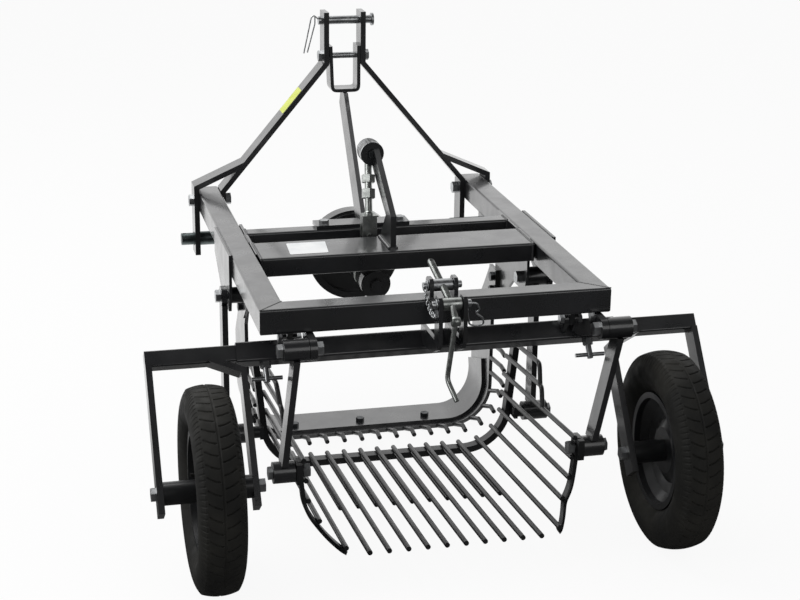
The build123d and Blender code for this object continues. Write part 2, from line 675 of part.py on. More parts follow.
# rear straps: bent to the rods' U and leaning forward going up, one on each side
strap_top_z = REAR_LOW_Z + 24
strap_off = rod_r - GRIP + STRAP_T / 2
strap_lift = SIEVE_RISE * (SIEVE_Y - STRAP_LOW_Y)
strap_bottom = SIEVE_BOTTOM + strap_lift - strap_off
strap_u = u_band(
    u_outside(SIEVE_HALF, SIEVE_SLOPE, strap_off),
    SIEVE_SLOPE,
    strap_bottom,
    strap_top_z,
    SIEVE_R + strap_off,
    STRAP_T,
    STRAP_LOW_Y - 2 * STRAP_W,
    REAR_PIVOT_Y + 2 * STRAP_W,
)


def strap_y(z):
    """Middle of the rear strap at a height."""
    f = (z - strap_bottom) / (strap_top_z - strap_bottom)
    return STRAP_LOW_Y + f * (REAR_PIVOT_Y - STRAP_LOW_Y)


strap_outline = [
    (strap_y(z) + sign * STRAP_W / 2, z)
    for sign, z in ((-1, strap_bottom - 20), (1, strap_bottom - 20), (1, strap_top_z + 1), (-1, strap_top_z + 1))
]
strap_in = rod_at(SIDE_FIRST)[0] - 8
straps = strap_u & plate_x(strap_outline, -FRAME_W, FRAME_W)
straps = straps - block(-strap_in, strap_in, -FRAME_W, FRAME_W, 2 * SIEVE_BOTTOM, 0)

# plates that carry the rear pins, welded to the straps' outer faces
face_off = rod_r - GRIP + STRAP_T
face_half = u_outside(SIEVE_HALF, SIEVE_SLOPE, face_off)


def strap_face(z):
    """X of the straps' outer face at a height, above their bend."""
    return face_half + SIEVE_SLOPE * (z - SIEVE_BOTTOM - strap_lift + face_off)


plate_low = strap_face(REAR_LOW_Z - PIVOT_H / 2) - STRAP_T / 4
plate_out = strap_face(REAR_LOW_Z + PIVOT_H / 2) + PLATE_T
pivot_plate = block(
    plate_low,
    plate_out,
    REAR_PIVOT_Y - PIVOT_W / 2,
    REAR_PIVOT_Y + PIVOT_W / 2,
    REAR_LOW_Z - PIVOT_H / 2,
    REAR_LOW_Z + PIVOT_H / 2,
)
pivot_hole = rod((0, REAR_PIVOT_Y, REAR_LOW_Z), (plate_out + 1, REAR_PIVOT_Y, REAR_LOW_Z), PIN_D / 2)
half_space = block(0, FRAME_W, -FRAME_W, FRAME_W, 2 * SIEVE_BOTTOM, 0)
strap = (straps & half_space) + pivot_plate - pivot_hole
nodes["sieve_strap_right"] = strap
nodes["sieve_strap_left"] = mirrored(strap)

# side rods: the lower ones end on the strap, the two top ones turn down onto the next
side_rods = Part()
for row in range(SIDE_N):
    x, z = rod_at(SIDE_FIRST + row * SIDE_PITCH)
    bend = row - (SIDE_N - len(BEND_Y))
    if bend < 0:
        end_y = strap_y(z + SIEVE_RISE * (SIEVE_Y - REAR_PIVOT_Y)) - STRAP_W / 2
        side_rods = side_rods + slanted(x, z, sieve_front, end_y)
    else:
        end_y = BEND_Y[bend]
        foot_y = end_y - 22
        below_x, below_z = rod_at(SIDE_FIRST + (row - 1) * SIDE_PITCH)
        turn = (x, end_y, z - (end_y - SIEVE_Y) * SIEVE_RISE)
        foot = (below_x, foot_y, below_z - (foot_y - SIEVE_Y) * SIEVE_RISE)
        side_rods = side_rods + slanted(x, z, sieve_front, end_y) + Pos(*turn) * Sphere(rod_r)
        side_rods = side_rods + rod(turn, foot, rod_r)
side_rods = side_rods - hoop - strap
nodes["sieve_side_rods_right"] = side_rods
nodes["sieve_side_rods_left"] = mirrored(side_rods)

# front stubs on the hoop's sides, which carry the front pins
hoop_face = u_outside(SIEVE_HALF, SIEVE_SLOPE, rod_r - GRIP + HOOP_T)
hoop_face = hoop_face + SIEVE_SLOPE * (FRONT_LOW_Z - SIEVE_BOTTOM + rod_r + HOOP_T)
stub_y, stub_z = FRONT_PIVOT_Y, FRONT_LOW_Z
for s, stub_end in ((-1, STUB_END_L), (1, STUB_END_R)):
    arm_plate = block(s * (hoop_face - 2), s * (hoop_face + 6), stub_y - STUB_R, hoop_y1, stub_z - STUB_R, stub_z + STUB_R)
    hoop = hoop + arm_plate + rod((s * (hoop_face - 2), stub_y, stub_z), (s * stub_end, stub_y, stub_z), STUB_R)
    hoop = hoop - rod((s * (hoop_face - 3), stub_y, stub_z), (s * (stub_end + 1), stub_y, stub_z), PIN_D / 2)
nodes["sieve_hoop"] = hoop

# pins of the sieve: heads outside the links, nuts inside the straps
rear_bush_x0 = plate_out + BUSH_GAP
rear_bush_x1 = rear_bush_x0 + REAR_LOW_L
rear_mid_x = (rear_bush_x0 + rear_bush_x1) / 2
pin_in = strap_face(REAR_LOW_Z - 14) - STRAP_T - 0.1


def sieve_pin(sign, y, z, x_in, x_out, nut):
    """Pivot bolt fixed in the sieve, with its head outside and its nut inside."""
    body = rod((sign * x_in, y, z), (sign * x_out, y, z), PIN_D / 2)
    body = body + hexagon((sign * x_out, y, z), (sign * (x_out + 8), y, z), HEX_16)
    if nut:
        body = body + hexagon((sign * x_in, y, z), (sign * (x_in - 13), y, z), HEX_16)
    return body


front_out_r = STUB_END_R + BUSH_GAP + FRONT_LOW_L
front_out_l = side_out + LINK_GAP + LINK_T
for s in (-1, 1):
    add("sieve_pins", sieve_pin(s, REAR_PIVOT_Y, REAR_LOW_Z, pin_in, rear_bush_x1 + BUSH_GAP, True))
    outer = (front_out_l if s < 0 else front_out_r) + BUSH_GAP
    add("sieve_pins", sieve_pin(s, stub_y, stub_z, hoop_face - 2, outer, False))

# ================================================================ sieve links
link_xl = side_out + LINK_GAP + LINK_T / 2
link_xr = (rail_in + rail_half) / 2


def link_bar(top, low, thickness, width, radius):
    """Flat bar between two bushes; top and low are (x, y, z)."""
    x0, y0, z0 = top
    x1, y1, z1 = low
    outline = [
        (x0 - thickness / 2, z0 - radius + 4),
        (x0 + thickness / 2, z0 - radius + 4),
        (x1 + thickness / 2, z1 + radius - 4),
        (x1 - thickness / 2, z1 + radius - 4),
    ]
    return plate_y(outline, y0 - width / 2, y0 + width / 2)


link_specs = [
    # name, bar x at top, bar x at bottom, y, top z, low z, top bush x0, x1, low bush x0, x1
    ("front_left", -link_xl, -link_xl, FRONT_PIVOT_Y, FRONT_TOP_Z, FRONT_LOW_Z,
     -front_out_l, -side_out - LINK_GAP, -front_out_l, -STUB_END_L - BUSH_GAP),
    ("front_right", link_xr, link_xr, FRONT_PIVOT_Y, FRONT_TOP_Z, FRONT_LOW_Z,
     rail_in + BUSH_GAP, rail_half - BUSH_GAP, STUB_END_R + BUSH_GAP, front_out_r),
    ("rear_left", REAR_TOP_XL, -rear_mid_x, REAR_PIVOT_Y, REAR_TOP_Z, REAR_LOW_Z,
     REAR_TOP_XL - REAR_BUSH_L / 2, REAR_TOP_XL + REAR_BUSH_L / 2, -rear_bush_x1, -rear_bush_x0),
    ("rear_right", REAR_TOP_XR, rear_mid_x, REAR_PIVOT_Y, REAR_TOP_Z, REAR_LOW_Z,
     REAR_TOP_XR - REAR_BUSH_L / 2, REAR_TOP_XR + REAR_BUSH_L / 2, rear_bush_x0, rear_bush_x1),
]
for name, xt, xl, y, zt, zl, t0, t1, l0, l1 in link_specs:
    bar = link_bar((xt, y, zt), (xl, y, zl), LINK_T, LINK_W, BUSH_R)
    bar = bar + rod((t0, y, zt), (t1, y, zt), BUSH_R) + rod((l0, y, zl), (l1, y, zl), BUSH_R)
    low_fit = FIT if name == "front_left" else LOOSE_FIT
    for x0, x1, z, fit in ((t0, t1, zt, FIT), (l0, l1, zl, low_fit)):
        bar = bar - rod((x0 - 1, y, z), (x1 + 1, y, z), PIN_D / 2 + fit)
    nodes["link_" + name] = bar


def frame_pin(y, z, x0, x1, head_out):
    """Pivot bolt fixed in the frame from x0 to x1, its head on the side head_out and a nut on the other."""
    x_head, x_nut = (x1, x0) if head_out > 0 else (x0, x1)
    body = rod((x0, y, z), (x1, y, z), PIN_D / 2)
    body = body + hexagon((x_head, y, z), (x_head + head_out * 10, y, z), HEX_16)
    return body + hexagon((x_nut, y, z), (x_nut - head_out * 13, y, z), HEX_16)


# front upper pins, through both side plates of a rail
left_pin = frame_pin(FRONT_PIVOT_Y, FRONT_TOP_Z, -front_out_l - BUSH_GAP, -side_in, -1)
add("link_pins", left_pin)
add("link_pins", frame_pin(FRONT_PIVOT_Y, FRONT_TOP_Z, side_in, side_out, 1))

# rear hanger brackets under the rear tube, inboard of each bush
hanger_specs = [
    # top bush's middle, side on which its bracket stands
    (REAR_TOP_XL, 1),
    (REAR_TOP_XR, -1),
]
for x_bush, inboard in hanger_specs:
    x_face = x_bush + inboard * (REAR_BUSH_L / 2 + BUSH_GAP)
    x_back = x_face + inboard * BRACKET_T
    hanger_outline = [
        (8, -TUBE),
        (TUBE - 6, -TUBE),
        (TUBE - 20, -TUBE - 26),
        (REAR_PIVOT_Y, REAR_TOP_Z - BUSH_R + 1),
        (REAR_PIVOT_Y, REAR_TOP_Z + BUSH_R),
        (REAR_PIVOT_Y + BUSH_R, -TUBE),
    ]
    hanger = plate_x(hanger_outline, x_face, x_back)
    hanger = hanger + rod((x_face, REAR_PIVOT_Y, REAR_TOP_Z), (x_back, REAR_PIVOT_Y, REAR_TOP_Z), BUSH_R)
    hole_x = x_face - inboard * 1
    hanger = hanger - rod((hole_x, REAR_PIVOT_Y, REAR_TOP_Z), (x_back + inboard, REAR_PIVOT_Y, REAR_TOP_Z), PIN_D / 2)
    add("hanger_brackets", hanger)
    x_head = x_bush - inboard * (REAR_BUSH_L / 2 + BUSH_GAP)
    add("link_pins", frame_pin(REAR_PIVOT_Y, REAR_TOP_Z, min(x_head, x_back), max(x_head, x_back), -inboard))

# ================================================================ axle beam
tilt = math.degrees(math.atan2(AXLE_Y - WHEEL_Y, AXLE_Z - WHEEL_Z))


def tilted(solid):
    """Turn a piece drawn about the beam's axis to the legs' trailing angle."""
    return Pos(0, AXLE_Y, AXLE_Z) * Rot(-tilt, 0, 0) * solid


half = AXLE_TUBE / 2
beam = block(-AXLE_HALF, AXLE_HALF, -half, half, -half, half)
beam = fillet(beam.edges().filter_by(Axis.X), 4)
inner = half - AXLE_WALL
beam = beam - block(-AXLE_HALF, AXLE_HALF, -inner, inner, -inner, inner)
for s in (-1, 1):
    x = s * CLAMP_SCREW_X
    hole = rod((x, 0, -half - 1), (x, 0, -inner + 1), CLAMP_SCREW_D / 2)
    beam = beam - hole
beam_outer = tilted(block(-AXLE_HALF, AXLE_HALF, -half, half, -half, half))
nodes["axle_beam"] = tilted(beam)

for s in (-1, 1):
    x = s * HINGE_X
    lug_outline = [
        (HINGE_Y - 20, -TUBE),
        (TUBE - 2, -TUBE),
        (HINGE_Y + LUG_R, HINGE_Z),
        (HINGE_Y - LUG_R, HINGE_Z),
    ]
    lug = plate_x(lug_outline, x - LUG_T / 2, x + LUG_T / 2)
    lug = lug + rod((x - LUG_T / 2, HINGE_Y, HINGE_Z), (x + LUG_T / 2, HINGE_Y, HINGE_Z), LUG_R)
    lug = lug - rod((x - LUG_T, HINGE_Y, HINGE_Z), (x + LUG_T, HINGE_Y, HINGE_Z), HINGE_PIN_D / 2 + FIT)
    add("hinge_lugs", lug)
    for e in (-1, 1):
        x0 = x + e * (LUG_T / 2 + 1)
        x1 = x + e * (LUG_T / 2 + 9)
        ear_outline = [
            (HINGE_Y - 11, HINGE_Z - 6),
            (HINGE_Y + 11, HINGE_Z + 6),
            (AXLE_Y + 14, AXLE_Z + 8),
            (AXLE_Y - 16, AXLE_Z - 4),
        ]
        ear = plate_x(ear_outline, x0, x1)
        ear = ear + rod((x0, HINGE_Y, HINGE_Z), (x1, HINGE_Y, HINGE_Z), EAR_R)
        ear = ear - beam_outer
        ear = ear - rod((x0 - e, HINGE_Y, HINGE_Z), (x1 + e, HINGE_Y, HINGE_Z), HINGE_PIN_D / 2)
        add("axle_ears", ear)
    x0 = x - LUG_T / 2 - 9
    x1 = x + LUG_T / 2 + 9
    pin = rod((x0, HINGE_Y, HINGE_Z), (x1, HINGE_Y, HINGE_Z), HINGE_PIN_D / 2)
    pin = pin + hexagon((x0 - 8, HINGE_Y, HINGE_Z), (x0, HINGE_Y, HINGE_Z), 18)
    pin = pin + hexagon((x1, HINGE_Y, HINGE_Z), (x1 + 9, HINGE_Y, HINGE_Z), 18)
    add("axle_pins", pin)

# T-handled clamp screws under the beam that hold the arms
for s in (-1, 1):
    x = s * CLAMP_SCREW_X
    screw = rod((x, 0, -ARM_TUBE / 2 - SEAT), (x, 0, -half - CLAMP_SCREW_L), CLAMP_SCREW_D / 2)
    screw = screw + hexagon((x, 0, -half - 10), (x, 0, -half), HEX_12)
    handle_z = 7 - half - CLAMP_SCREW_L
    screw = screw + rod((x - 30, 0, handle_z), (x + 30, 0, handle_z), 4)
    add("clamp_screws", tilted(screw))

# ================================================================ wheel arms
leg_dir = Vector(0, WHEEL_Y - AXLE_Y, WHEEL_Z - AXLE_Z)
leg_len = leg_dir.length
arm_half = ARM_TUBE / 2


def wheel_arm():
    """Right arm: square tube, outer leg, cranked inner leg; drawn about the beam's axis."""
    x_in = AXLE_HALF - ARM_IN
    wall = AXLE_WALL
    tube = block(x_in, ARM_END, -arm_half, arm_half, -arm_half, arm_half)
    tube = fillet(tube.edges().filter_by(Axis.X), 3)
    x_end = ARM_END - LEG_T
    tube = tube - block(x_in - 1, x_end, wall - arm_half, arm_half - wall, wall - arm_half, arm_half - wall)
    bottom = -leg_len - LEG_OVER
    leg_out = block(LEG_OUT_X - LEG_T / 2, LEG_OUT_X + LEG_T / 2, -LEG_W / 2, LEG_W / 2, bottom, 4 - arm_half)
    line = [(LEG_START + 10, 0), (LEG_IN_X, -LEG_KNEE), (LEG_IN_X, bottom)]
    leg_in = plate_y(strip(line, LEG_T), -LEG_W / 2, LEG_W / 2)
    leg_in = leg_in - block(LEG_IN_X, ARM_END, -LEG_W, LEG_W, 4 - arm_half, arm_half)
    solid = leg_out + leg_in
    solid = solid - block(x_in, ARM_END, -arm_half, arm_half, -arm_half, arm_half) + tube
    for x0 in (LEG_IN_X, LEG_OUT_X):
        solid = solid - rod((x0 - LEG_T, 0, -leg_len), (x0 + LEG_T, 0, -leg_len), AXLE_BOLT_D / 2)
    return tilted(solid)


arm = wheel_arm()
nodes["wheel_arm_right"] = arm
nodes["wheel_arm_left"] = mirrored(arm)

# axle bolt with its nut, through both legs and the wheel's hub
axle_in = LEG_IN_X - LEG_T / 2
axle_out = LEG_OUT_X + LEG_T / 2
axle = rod((axle_in, WHEEL_Y, WHEEL_Z), (axle_out, WHEEL_Y, WHEEL_Z), AXLE_BOLT_D / 2)
axle = axle + hexagon((axle_out, WHEEL_Y, WHEEL_Z), (axle_out + 10, WHEEL_Y, WHEEL_Z), HEX_16)
axle = axle + hexagon((axle_in - 13, WHEEL_Y, WHEEL_Z), (axle_in, WHEEL_Y, WHEEL_Z), HEX_16)
nodes["wheel_axle_right"] = axle
nodes["wheel_axle_left"] = mirrored(axle)


def wheel_parts():
    """Tyre, and rim with its hub; axis along X about the origin."""
    r = TYRE_D / 2
    w = TYRE_W / 2
    rim_r = RIM_D / 2
    rim_w = RIM_W / 2
    bead = rim_w - RIM_T - SEAT
    with BuildSketch(Plane.XY) as tyre_face:
        with BuildLine():
            Line((-bead, rim_r + SEAT), (-bead, rim_r + FLANGE_H))
            side = ThreePointArc((-bead, rim_r + FLANGE_H), (-w, (rim_r + r) / 2), (TREAD_W / -2, r - CROWN))
            ThreePointArc(side @ 1, (0, r), (TREAD_W / 2, r - CROWN))
            ThreePointArc((TREAD_W / 2, r - CROWN), (w, (rim_r + r) / 2), (bead, rim_r + FLANGE_H))
            Line((bead, rim_r + FLANGE_H), (bead, rim_r + SEAT))
            Line((bead, rim_r + SEAT), (bead - TYRE_T, rim_r + SEAT))
            Line((bead - TYRE_T, rim_r + SEAT), (bead - TYRE_T, rim_r + FLANGE_H))
            ThreePointArc(
                (bead - TYRE_T, rim_r + FLANGE_H),
                (w - TYRE_T, (rim_r + r) / 2),
                (TREAD_W / 2 - TYRE_T, r - CROWN - TYRE_T),
            )
            Line((TREAD_W / 2 - TYRE_T, r - CROWN - TYRE_T), (TYRE_T - TREAD_W / 2, r - CROWN - TYRE_T))
            ThreePointArc(
                (TYRE_T - TREAD_W / 2, r - CROWN - TYRE_T),
                (TYRE_T - w, (rim_r + r) / 2),
                (TYRE_T - bead, rim_r + FLANGE_H),
            )
            Line((TYRE_T - bead, rim_r + FLANGE_H), (TYRE_T - bead, rim_r + SEAT))
            Line((TYRE_T - bead, rim_r + SEAT), (-bead, rim_r + SEAT))
        make_face()
    tyre = revolve(tyre_face.sketch, Axis.X)
    # rim half section: flange, bead seat, well, and the dished disc down to the hub
    outer_side = [(rim_w, rim_r + FLANGE_H), (rim_w - RIM_T, rim_r + FLANGE_H), (rim_w - RIM_T, rim_r)]
    outer_side = outer_side + [(rim_w - 14, rim_r - 1), (WELL_W / 2, rim_r - WELL_H)]
    inner_side = [(rim_w, rim_r - RIM_T), (rim_w - 12, rim_r - 1 - RIM_T), (WELL_W / 2 - 1, rim_r - WELL_H - RIM_T)]
    disc_out = [(6, rim_r - WELL_H - 24), (DISC_X, rim_r - WELL_H - 44), (DISC_X, HUB_R - 1)]
    disc_in = [(x - RIM_T - 2, radius) for x, radius in disc_out]
    section = [(-x, radius) for x, radius in outer_side] + outer_side[::-1] + inner_side
    section = section + disc_out + disc_in[::-1] + [(-x, radius) for x, radius in inner_side[::-1]]
    rim = revolve(make_face(Polyline(*[(x, radius, 0) for x, radius in section], close=True)), Axis.X)
    hub_in = LEG_IN_X + LEG_T / 2 + SEAT - WHEEL_X
    hub_out = LEG_OUT_X - LEG_T / 2 - SEAT - WHEEL_X
    hub = pipe((hub_in, 0, 0), (hub_out, 0, 0), HUB_R, AXLE_BOLT_D / 2 + FIT)
    return tyre, rim + hub


tyre, rim = wheel_parts()
nodes["tyre_right"] = Pos(WHEEL_X, WHEEL_Y, WHEEL_Z) * tyre
nodes["rim_right"] = Pos(WHEEL_X, WHEEL_Y, WHEEL_Z) * rim
nodes["tyre_left"] = mirrored(nodes["tyre_right"])
nodes["rim_left"] = mirrored(nodes["rim_right"])

# ================================================================ depth screw
screw_dir = Vector(0, LOW_Y - NUT_Y, LOW_Z - NUT_Z).normalized()
nut_point = Vector(SCREW_X, NUT_Y, NUT_Z)
low_point = Vector(SCREW_X, LOW_Y, LOW_Z)
front_end = tuple(nut_point - screw_dir * SCREW_FRONT)
back_end = tuple(low_point + screw_dir * SCREW_BACK)
trun_in = TRUN_GAP / 2
pin_r = TRUN_PIN_D / 2
upper_outline = [
    (NUT_Y - TRUN_R, 0),
    (NUT_Y + TRUN_R, 0),
    (NUT_Y + TRUN_R, NUT_Z + 10),
    (NUT_Y + 10, NUT_Z + TRUN_R),
    (NUT_Y - 10, NUT_Z + TRUN_R),
    (NUT_Y - TRUN_R, NUT_Z + 10),
]
lower_outline = [
    (LOW_Y - TRUN_R, LOW_Z + 8),
    (LOW_Y - 9, LOW_Z + TRUN_R),
    (LOW_Y + 9, LOW_Z + TRUN_R),
    (LOW_Y + TRUN_R, LOW_Z + 8),
    (LOW_Y + TRUN_R, AXLE_Z + 42),
    (AXLE_Y - 8, AXLE_Z + 42),
    (AXLE_Y, AXLE_Z),
    (LOW_Y + 30, AXLE_Z + 12),
    (LOW_Y - 4, AXLE_Z + 28),
    (LOW_Y - TRUN_R, AXLE_Z + 46),
]
for s in (-1, 1):
    x0 = SCREW_X + s * trun_in
    x1 = SCREW_X + s * (trun_in + TRUN_T)
    x_tip = x1 + s * 9
    upper = plate_x(upper_outline, x0, x1)
    upper = upper + rod((x0 - s * TRUN_PIN_IN, NUT_Y, NUT_Z), (x_tip, NUT_Y, NUT_Z), pin_r)
    add("screw_trunnion_upper", upper)
    lower = plate_x(lower_outline, x0, x1) - beam_outer
    lower = lower.solids().sort_by(SortBy.VOLUME)[-1]
    add("screw_trunnion_lower", lower + rod((x0, LOW_Y, LOW_Z), (x_tip, LOW_Y, LOW_Z), pin_r))

# nut block that swivels in the upper trunnion, and the screw with its collar and crank
block_x0 = SCREW_X - trun_in + BUSH_GAP
block_x1 = SCREW_X + trun_in - BUSH_GAP
nut_block = rod((block_x0, NUT_Y, NUT_Z), (block_x1, NUT_Y, NUT_Z), BLOCK_D / 2)
nut_block = nut_block - rod(front_end, back_end, SCREW_D / 2 + FIT)
for s in (-1, 1):
    x0 = SCREW_X + s * (trun_in - TRUN_PIN_IN - SEAT)
    nut_block = nut_block - rod((x0, NUT_Y, NUT_Z), (SCREW_X + s * trun_in, NUT_Y, NUT_Z), pin_r + FIT)
nodes["screw_nut"] = nut_block
screw = rod(front_end, back_end, SCREW_D / 2)
screw = screw + rod((block_x0, LOW_Y, LOW_Z), (block_x1, LOW_Y, LOW_Z), BLOCK_D / 2)
crank_low = tuple(Vector(*back_end) + Vector(-16, -4, -CRANK_DROP))
grip_end = tuple(Vector(*crank_low) + Vector(12, -30, 12 - GRIP_L))
screw = screw + Pos(*back_end) * Sphere(SCREW_D / 2) + rod(back_end, crank_low, CRANK_D / 2)
screw = screw + Pos(*crank_low) * Sphere(CRANK_D / 2) + rod(crank_low, grip_end, CRANK_D / 2)
nodes["depth_screw"] = screw

# ================================================================ drive
shaft_r = SHAFT_D / 2


def about_shaft(y0, y1, radius):
    """Disc or bar on the drive shaft's axis."""
    return rod((SHAFT_X, y0, SHAFT_Z), (SHAFT_X, y1, SHAFT_Z), radius)


pto_y0 = SHAFT_Y1 - PTO_L
shaft = about_shaft(BEARING_REAR_Y - BOSS_OUT + 1, pto_y0, shaft_r)
nodes["pto_shaft"] = shaft + about_shaft(pto_y0, SHAFT_Y1, PTO_D / 2)
fly_y0 = FLY_Y
fly_y1 = FLY_Y + FLY_W
fly = about_shaft(fly_y0, fly_y1, FLY_R)
for y0, y1 in ((fly_y0 - 1, fly_y0 + FLY_RECESS), (fly_y1 - FLY_RECESS, fly_y1 + 1)):
    fly = fly - about_shaft(y0, y1, FLY_R - FLY_RIM)
fly = fly - (about_shaft(fly_y0 - 1, fly_y0 + 7, FLY_R + 1) - about_shaft(fly_y0 - 1, fly_y0 + 7, FLY_R - 6))
fly = fly + about_shaft(fly_y0 - 6, fly_y1 + 6, FLY_HUB_R)
nodes["flywheel"] = fly - about_shaft(fly_y0 - 7, fly_y1 + 7, shaft_r)

# bearing plates under the middle and the front cross tubes
hanger_x = (38, 38, 34, 23, 23)
hanger_z = (-CROSS_H, -CROSS_H - 8, -CROSS_H - 26, SHAFT_Z + 16, SHAFT_Z)
hanger_line = [(SHAFT_X + x, z) for x, z in zip(hanger_x, hanger_z)]
hanger_line = hanger_line + [(SHAFT_X - x, z) for x, z in zip(hanger_x[::-1], hanger_z[::-1])]
for y in (BEARING_REAR_Y, BEARING_FRONT_Y):
    bearing = plate_y(hanger_line, y, y + BEARING_T)
    bearing = bearing + about_shaft(y - BOSS_OUT, y + BEARING_T + BOSS_OUT, BEARING_R)
    bearing = bearing - about_shaft(y - BOSS_OUT - 1, y + BEARING_T + BOSS_OUT + 1, shaft_r + FIT)
    add("bearing_plates", bearing)

cover_y = BEARING_REAR_Y - BOSS_OUT
add("bearing_plates", about_shaft(cover_y - COVER_T, cover_y, BEARING_R - 2))
cover_bolt = [(SHAFT_X, cover_y - COVER_T - 9, SHAFT_Z), (SHAFT_X, cover_y - COVER_T, SHAFT_Z)]
add("bearing_plates", hexagon(*cover_bolt, COVER_BOLT))

# post on the middle tube with its bush, and the threaded stay that comes down from it
bush_y, bush_z = POST_TOP
post_outline = [
    (MID_Y + 16, 0),
    (mid_y1 - 4, 0),
    (MID_Y + 62, 62),
    (bush_y + 4, bush_z - POST_BUSH_R + 4),
    (bush_y - 14, bush_z + 18),
    (MID_Y + 16, 70),
]
post = plate_x(post_outline, POST_X - POST_T / 2, POST_X + POST_T / 2)
bush_x = POST_X - POST_T / 2 - 2
bush_y0 = bush_y - POST_BUSH_L / 2
bush_y1 = bush_y + POST_BUSH_L / 2
post = post + rod((bush_x, bush_y0, bush_z), (bush_x, bush_y1, bush_z), POST_BUSH_R)
nodes["stay_post"] = post
stay_y = mid_y1 + 34
stay_top = (bush_x - 6, bush_y - 6, bush_z - POST_BUSH_R + 3)
stay_low = (SHAFT_X, stay_y, FORK_Z[0])
stay = rod(stay_top, stay_low, STAY_D / 2)


def stay_at(z):
    """Point of the stay's axis at a height."""
    f = (z - stay_low[2]) / (stay_top[2] - stay_low[2])
    return tuple(low + f * (top - low) for low, top in zip(stay_low, stay_top))


for z0, z1 in STAY_NUTS:
    stay = stay + hexagon(stay_at(z1), stay_at(z0), STAY_NUT)
fork_x = (SHAFT_X - FORK_W / 2, SHAFT_X + FORK_W / 2)
fork_y = (stay_y - FORK_T / 2, stay_y + FORK_T / 2)
slot_y = (stay_y - FORK_SLOT / 2, stay_y + FORK_SLOT / 2)
fork = block(*fork_x, *fork_y, FORK_Z[1], FORK_Z[0]) + Pos(*stay_low) * Sphere(STAY_D / 2 + 2)
fork = fork - block(*fork_x, *slot_y, FORK_Z[1] - 1, FORK_SLOT_Z)
lug_x = (SHAFT_X - FORK_W / 3, SHAFT_X + FORK_W / 3)
ring = block(*lug_x, slot_y[0] + SEAT, slot_y[1] - SEAT, SHAFT_Z + RING_R - 6, LUG_TOP)
ring = ring + about_shaft(stay_y - RING_W / 2, stay_y + RING_W / 2, RING_R)
ring = ring - about_shaft(stay_y - RING_W, stay_y + RING_W, shaft_r + FIT)
fork_pin = [(SHAFT_X, y, FORK_PIN_Z) for y in (fork_y[0] - 6, fork_y[1] + 6)]
stay = stay + fork + ring + rod(*fork_pin, FORK_PIN_D / 2)
nodes["stay_rod"] = stay - post

# ================================================================ write
whole = Compound(children=[Compound(list(solid.solids())) for solid in nodes.values()])
bounds = whole.bounding_box()
SHIFT = (-(bounds.min.X + bounds.max.X) / 2, -(bounds.min.Y + bounds.max.Y) / 2, -bounds.min.Z)
os.makedirs("parts", exist_ok=True)
for name, solid in nodes.items():
    solids = list(solid.solids())
    shape = Compound(solids) if len(solids) > 1 else solids[0]
    export_step(Pos(*SHIFT) * shape, "parts/" + name + ".step")
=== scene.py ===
"""Potato digger with an oscillating sieve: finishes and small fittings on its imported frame."""
import json
import math

import bmesh
import bpy
import numpy as np
from mathutils import Matrix, Vector


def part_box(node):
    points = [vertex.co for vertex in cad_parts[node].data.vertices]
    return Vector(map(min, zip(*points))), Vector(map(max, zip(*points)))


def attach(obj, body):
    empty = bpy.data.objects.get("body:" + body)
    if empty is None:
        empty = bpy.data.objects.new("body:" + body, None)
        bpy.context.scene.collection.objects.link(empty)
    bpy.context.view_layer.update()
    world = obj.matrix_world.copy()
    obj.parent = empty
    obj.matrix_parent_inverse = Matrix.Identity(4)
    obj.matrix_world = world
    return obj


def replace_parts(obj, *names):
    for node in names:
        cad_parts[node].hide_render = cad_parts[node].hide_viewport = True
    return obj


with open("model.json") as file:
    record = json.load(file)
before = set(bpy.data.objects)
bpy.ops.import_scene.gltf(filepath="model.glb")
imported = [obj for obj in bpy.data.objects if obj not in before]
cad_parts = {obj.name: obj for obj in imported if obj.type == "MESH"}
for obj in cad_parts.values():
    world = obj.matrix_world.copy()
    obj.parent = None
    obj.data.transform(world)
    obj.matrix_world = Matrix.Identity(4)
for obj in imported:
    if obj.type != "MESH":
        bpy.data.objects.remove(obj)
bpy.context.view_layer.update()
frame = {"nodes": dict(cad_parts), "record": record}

# ---------------------------------------------------------------- the frame's own datum
# Points are written in millimetres from the middle of the rear tube's back face, at the frame's top.
rear_low, rear_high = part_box("rear_tube")
DATUM = np.array([(rear_low.x + rear_high.x) / 2, rear_low.y, rear_high.z])


def metres(points):
    """Points in millimetres from the frame's datum, in metres in the row frame."""
    return np.asarray(points, float) / 1000 + DATUM


# ---------------------------------------------------------------- surfaces
def grid_faces(rows, columns, ring_rows=False, ring_columns=True, first=0):
    """Quads of a grid of points; a ring joins its last row or column to its first."""
    index = np.arange(rows * columns).reshape(rows, columns) + first
    if ring_rows:
        index = np.vstack([index, index[:1]])
    if ring_columns:
        index = np.hstack([index, index[:, :1]])
    corners = [index[:-1, :-1], index[:-1, 1:], index[1:, 1:], index[1:, :-1]]
    return np.stack([c.ravel() for c in corners], axis=1)


